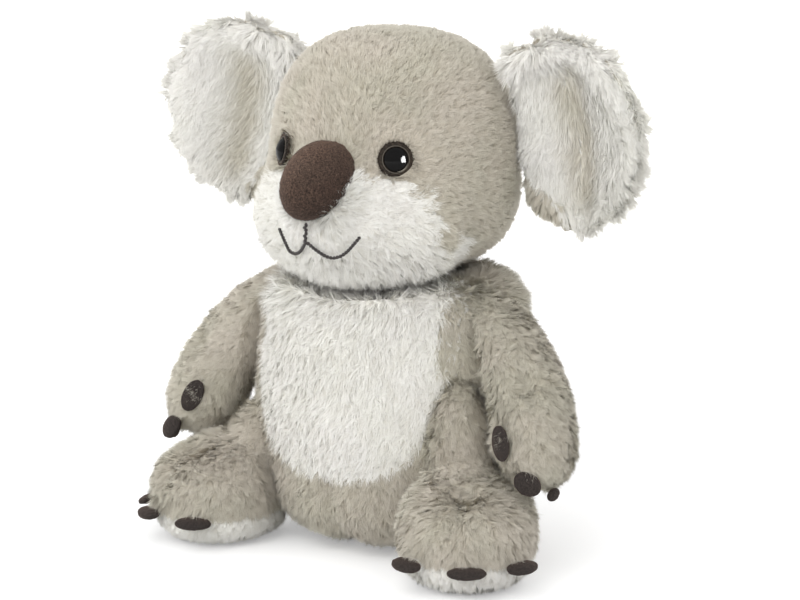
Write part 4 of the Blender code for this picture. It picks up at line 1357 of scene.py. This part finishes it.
def twisted_thread(name, line, node):
    """Two plies that wind round each other along a line."""
    centre, runs = resampled(line, 0.00035)
    tangent = unit(np.gradient(centre, axis=0))
    up = np.tile([0.0, -1.0, 0.0], (len(centre), 1))
    first = flat_to(up, tangent)
    second = np.cross(tangent, first)
    points, faces, ring = [], [], 8
    for ply in range(2):
        angle = runs / thread_pitch * math.tau + ply * math.pi
        offset = (first * np.cos(angle)[:, None] + second * np.sin(angle)[:, None])
        path = centre + offset * stitch_radius * 0.42
        start = len(points)
        for i in range(len(path)):
            for j in range(ring):
                turn = math.tau * j / ring
                taper = min(1.0, 0.4 + 0.3 * min(i, len(path) - 1 - i))
                around = first[i] * math.cos(turn) + second[i] * math.sin(turn)
                points.append(path[i] + around * stitch_radius * 0.56 * taper)
        for i in range(len(path) - 1):
            for j in range(ring):
                a, b = start + i * ring + j, start + i * ring + (j + 1) % ring
                faces.append((a, b, b + ring, a + ring))
        faces.append(tuple(start + j for j in reversed(range(ring))))
        faces.append(tuple(start + (len(path) - 1) * ring + j for j in range(ring)))
    item = new_object(name, points, faces)
    item.data.shade_smooth()
    item.data.materials.append(thread)
    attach(item, "head")
    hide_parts(node)


def make_pouch():
    """The bag of pellets inside the seat, a sewn pillow."""
    points, faces = welded_arrays(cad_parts["seat_pouch"].data)
    item = new_object("seat_pouch_bag", points, faces)
    voxels = item.modifiers.new("voxels", "REMESH")
    voxels.mode = "VOXEL"
    voxels.voxel_size = 0.0040
    baked(item)
    points, normals = points_of(item.data), normals_of(item.data)
    lumps = waves(points, 0.007, 95) * 0.0007 - 0.0012
    move_points(item.data, points + normals * lumps[:, None])
    item.data.shade_smooth()
    item.data.materials.clear()
    item.data.materials.append(pouch_cloth)
    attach(item, "torso")
    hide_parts("seat_pouch")


def dress_kept_nodes():
    """Better materials for the rigid pieces that stay as the CAD has them."""
    for node, material in (("neck_seam_ring", thread), ("eye_washer_left", washer_plastic),
                           ("eye_washer_right", washer_plastic)):
        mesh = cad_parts[node].data
        mesh.materials.clear()
        mesh.materials.append(material)


# Stage, lights and camera

def seen_directly(nodes, links):
    """1 for camera, glossy and transmission rays, and 0 for the rays that light things."""
    path = nodes.new("ShaderNodeLightPath")
    first = nodes.new("ShaderNodeMath")
    first.operation = "MAXIMUM"
    links.new(path.outputs["Is Camera Ray"], first.inputs[0])
    links.new(path.outputs["Is Glossy Ray"], first.inputs[1])
    second = nodes.new("ShaderNodeMath")
    second.operation = "MAXIMUM"
    links.new(first.outputs[0], second.inputs[0])
    links.new(path.outputs["Is Transmission Ray"], second.inputs[1])
    return second.outputs[0]


def make_floor():
    """A pale floor that keeps the object's shadow and turns plain white away from it."""
    bpy.ops.mesh.primitive_plane_add(size=14)
    floor = bpy.context.object
    floor.name = "floor"
    material, nodes, links, shader = new_material("pale_floor")
    shader.inputs["Base Color"].default_value = (0.86, 0.86, 0.86, 1)
    shader.inputs["Roughness"].default_value = 1.0
    shader.inputs["Specular IOR Level"].default_value = 0.0
    place = nodes.new("ShaderNodeNewGeometry")
    far = nodes.new("ShaderNodeVectorMath")
    far.operation = "LENGTH"
    links.new(place.outputs["Position"], far.inputs[0])
    rise = nodes.new("ShaderNodeMapRange")
    rise.inputs["From Min"].default_value = 0.30
    rise.inputs["From Max"].default_value = 1.20
    rise.inputs["To Min"].default_value = 0.30
    rise.inputs["To Max"].default_value = 1.0
    links.new(far.outputs["Value"], rise.inputs["Value"])
    lift = nodes.new("ShaderNodeMath")
    lift.operation = "MULTIPLY"
    links.new(seen_directly(nodes, links), lift.inputs[0])
    links.new(rise.outputs["Result"], lift.inputs[1])
    shader.inputs["Emission Color"].default_value = (1, 1, 1, 1)
    links.new(lift.outputs[0], shader.inputs["Emission Strength"])
    floor.data.materials.append(material)


def make_world():
    """White where it is seen, and softer where it lights the object."""
    world = bpy.data.worlds.new("studio")
    scene.world = world
    world.use_nodes = True
    nodes, links = world.node_tree.nodes, world.node_tree.links
    background = nodes["Background"]
    background.inputs["Color"].default_value = (1, 1, 1, 1)
    level = nodes.new("ShaderNodeMapRange")
    level.inputs["To Min"].default_value = world_light
    level.inputs["To Max"].default_value = 1.0
    links.new(seen_directly(nodes, links), level.inputs["Value"])
    links.new(level.outputs["Result"], background.inputs["Strength"])


def soft_light(name, azimuth, elevation, distance, size, energy):
    data = bpy.data.lights.new(name, "AREA")
    data.shape = "DISK"
    data.size = size
    data.energy = energy
    item = bpy.data.objects.new(name, data)
    scene.collection.objects.link(item)
    a, e = math.radians(azimuth), math.radians(elevation)
    back = Vector((math.sin(a) * math.cos(e), -math.cos(a) * math.cos(e), math.sin(e)))
    item.location = camera_target + back * distance
    item.rotation_euler = back.to_track_quat("Z", "Y").to_euler()
    return item


def camera_back():
    """The way from what the camera looks at back to the camera."""
    return Vector((math.sin(camera_azimuth) * math.cos(camera_elevation),
                   -math.cos(camera_azimuth) * math.cos(camera_elevation),
                   math.sin(camera_elevation)))


def catch_light():
    """The one small glint on the eyes, where the photo has it on the near one."""
    middle, way = Vector(eyes["left"][0]), Vector(eyes["left"][1])
    back = camera_back()
    right = Vector((math.cos(camera_azimuth), math.sin(camera_azimuth), 0))
    across = (right - way * right.dot(way)).normalized()
    angle = math.asin(glint_offset / dome_bend)
    slope = across * math.sin(angle) + way * math.cos(angle)
    aim = (slope * 2 * slope.dot(back) - back).normalized()
    item = soft_light("catch", 0, 0, 1, glint_size, glint_energy)
    item.location = middle + aim
    item.rotation_euler = aim.to_track_quat("Z", "Y").to_euler()
    item.visible_diffuse = False
    domes = bpy.data.collections.new("glint_receivers")
    for _, word in sides:
        domes.objects.link(bpy.data.objects[f"eye_dome_{word}"])
    item.light_linking.receiver_collection = domes


def make_camera():
    back = camera_back()
    data = bpy.data.cameras.new("photo_camera")
    data.sensor_width = sensor_width
    data.lens = focal_pixels / photo_width * sensor_width
    camera = bpy.data.objects.new("photo_camera", data)
    scene.collection.objects.link(camera)
    camera.location = camera_target + back * camera_distance
    camera.rotation_euler = back.to_track_quat("Z", "Y").to_euler()
    scene.camera = camera


make_camera()
make_floor()
make_world()
for name, azimuth, elevation, distance, size, energy in (("key", 5, 36, 1.7, 1.4, 13),
                                                         ("right", 100, 20, 1.8, 1.2, 1.5),
                                                         ("left", -50, 25, 1.8, 1.2, 2)):
    soft_light(name, azimuth, elevation, distance, size, energy).visible_glossy = False
scene.view_settings.view_transform = "Standard"

make_head()
make_torso()
for side, word in sides:
    make_arm(side, word)
    make_leg(side, word)
    make_ear(side, word)
for _, word in sides:
    make_eye(word)
    make_eye_fuzz(word)
make_nose()
twisted_thread("mouth_thread", mouth, "mouth_stitch")
twisted_thread("philtrum_thread", philtrum, "philtrum_stitch")
make_pouch()
dress_kept_nodes()
catch_light()
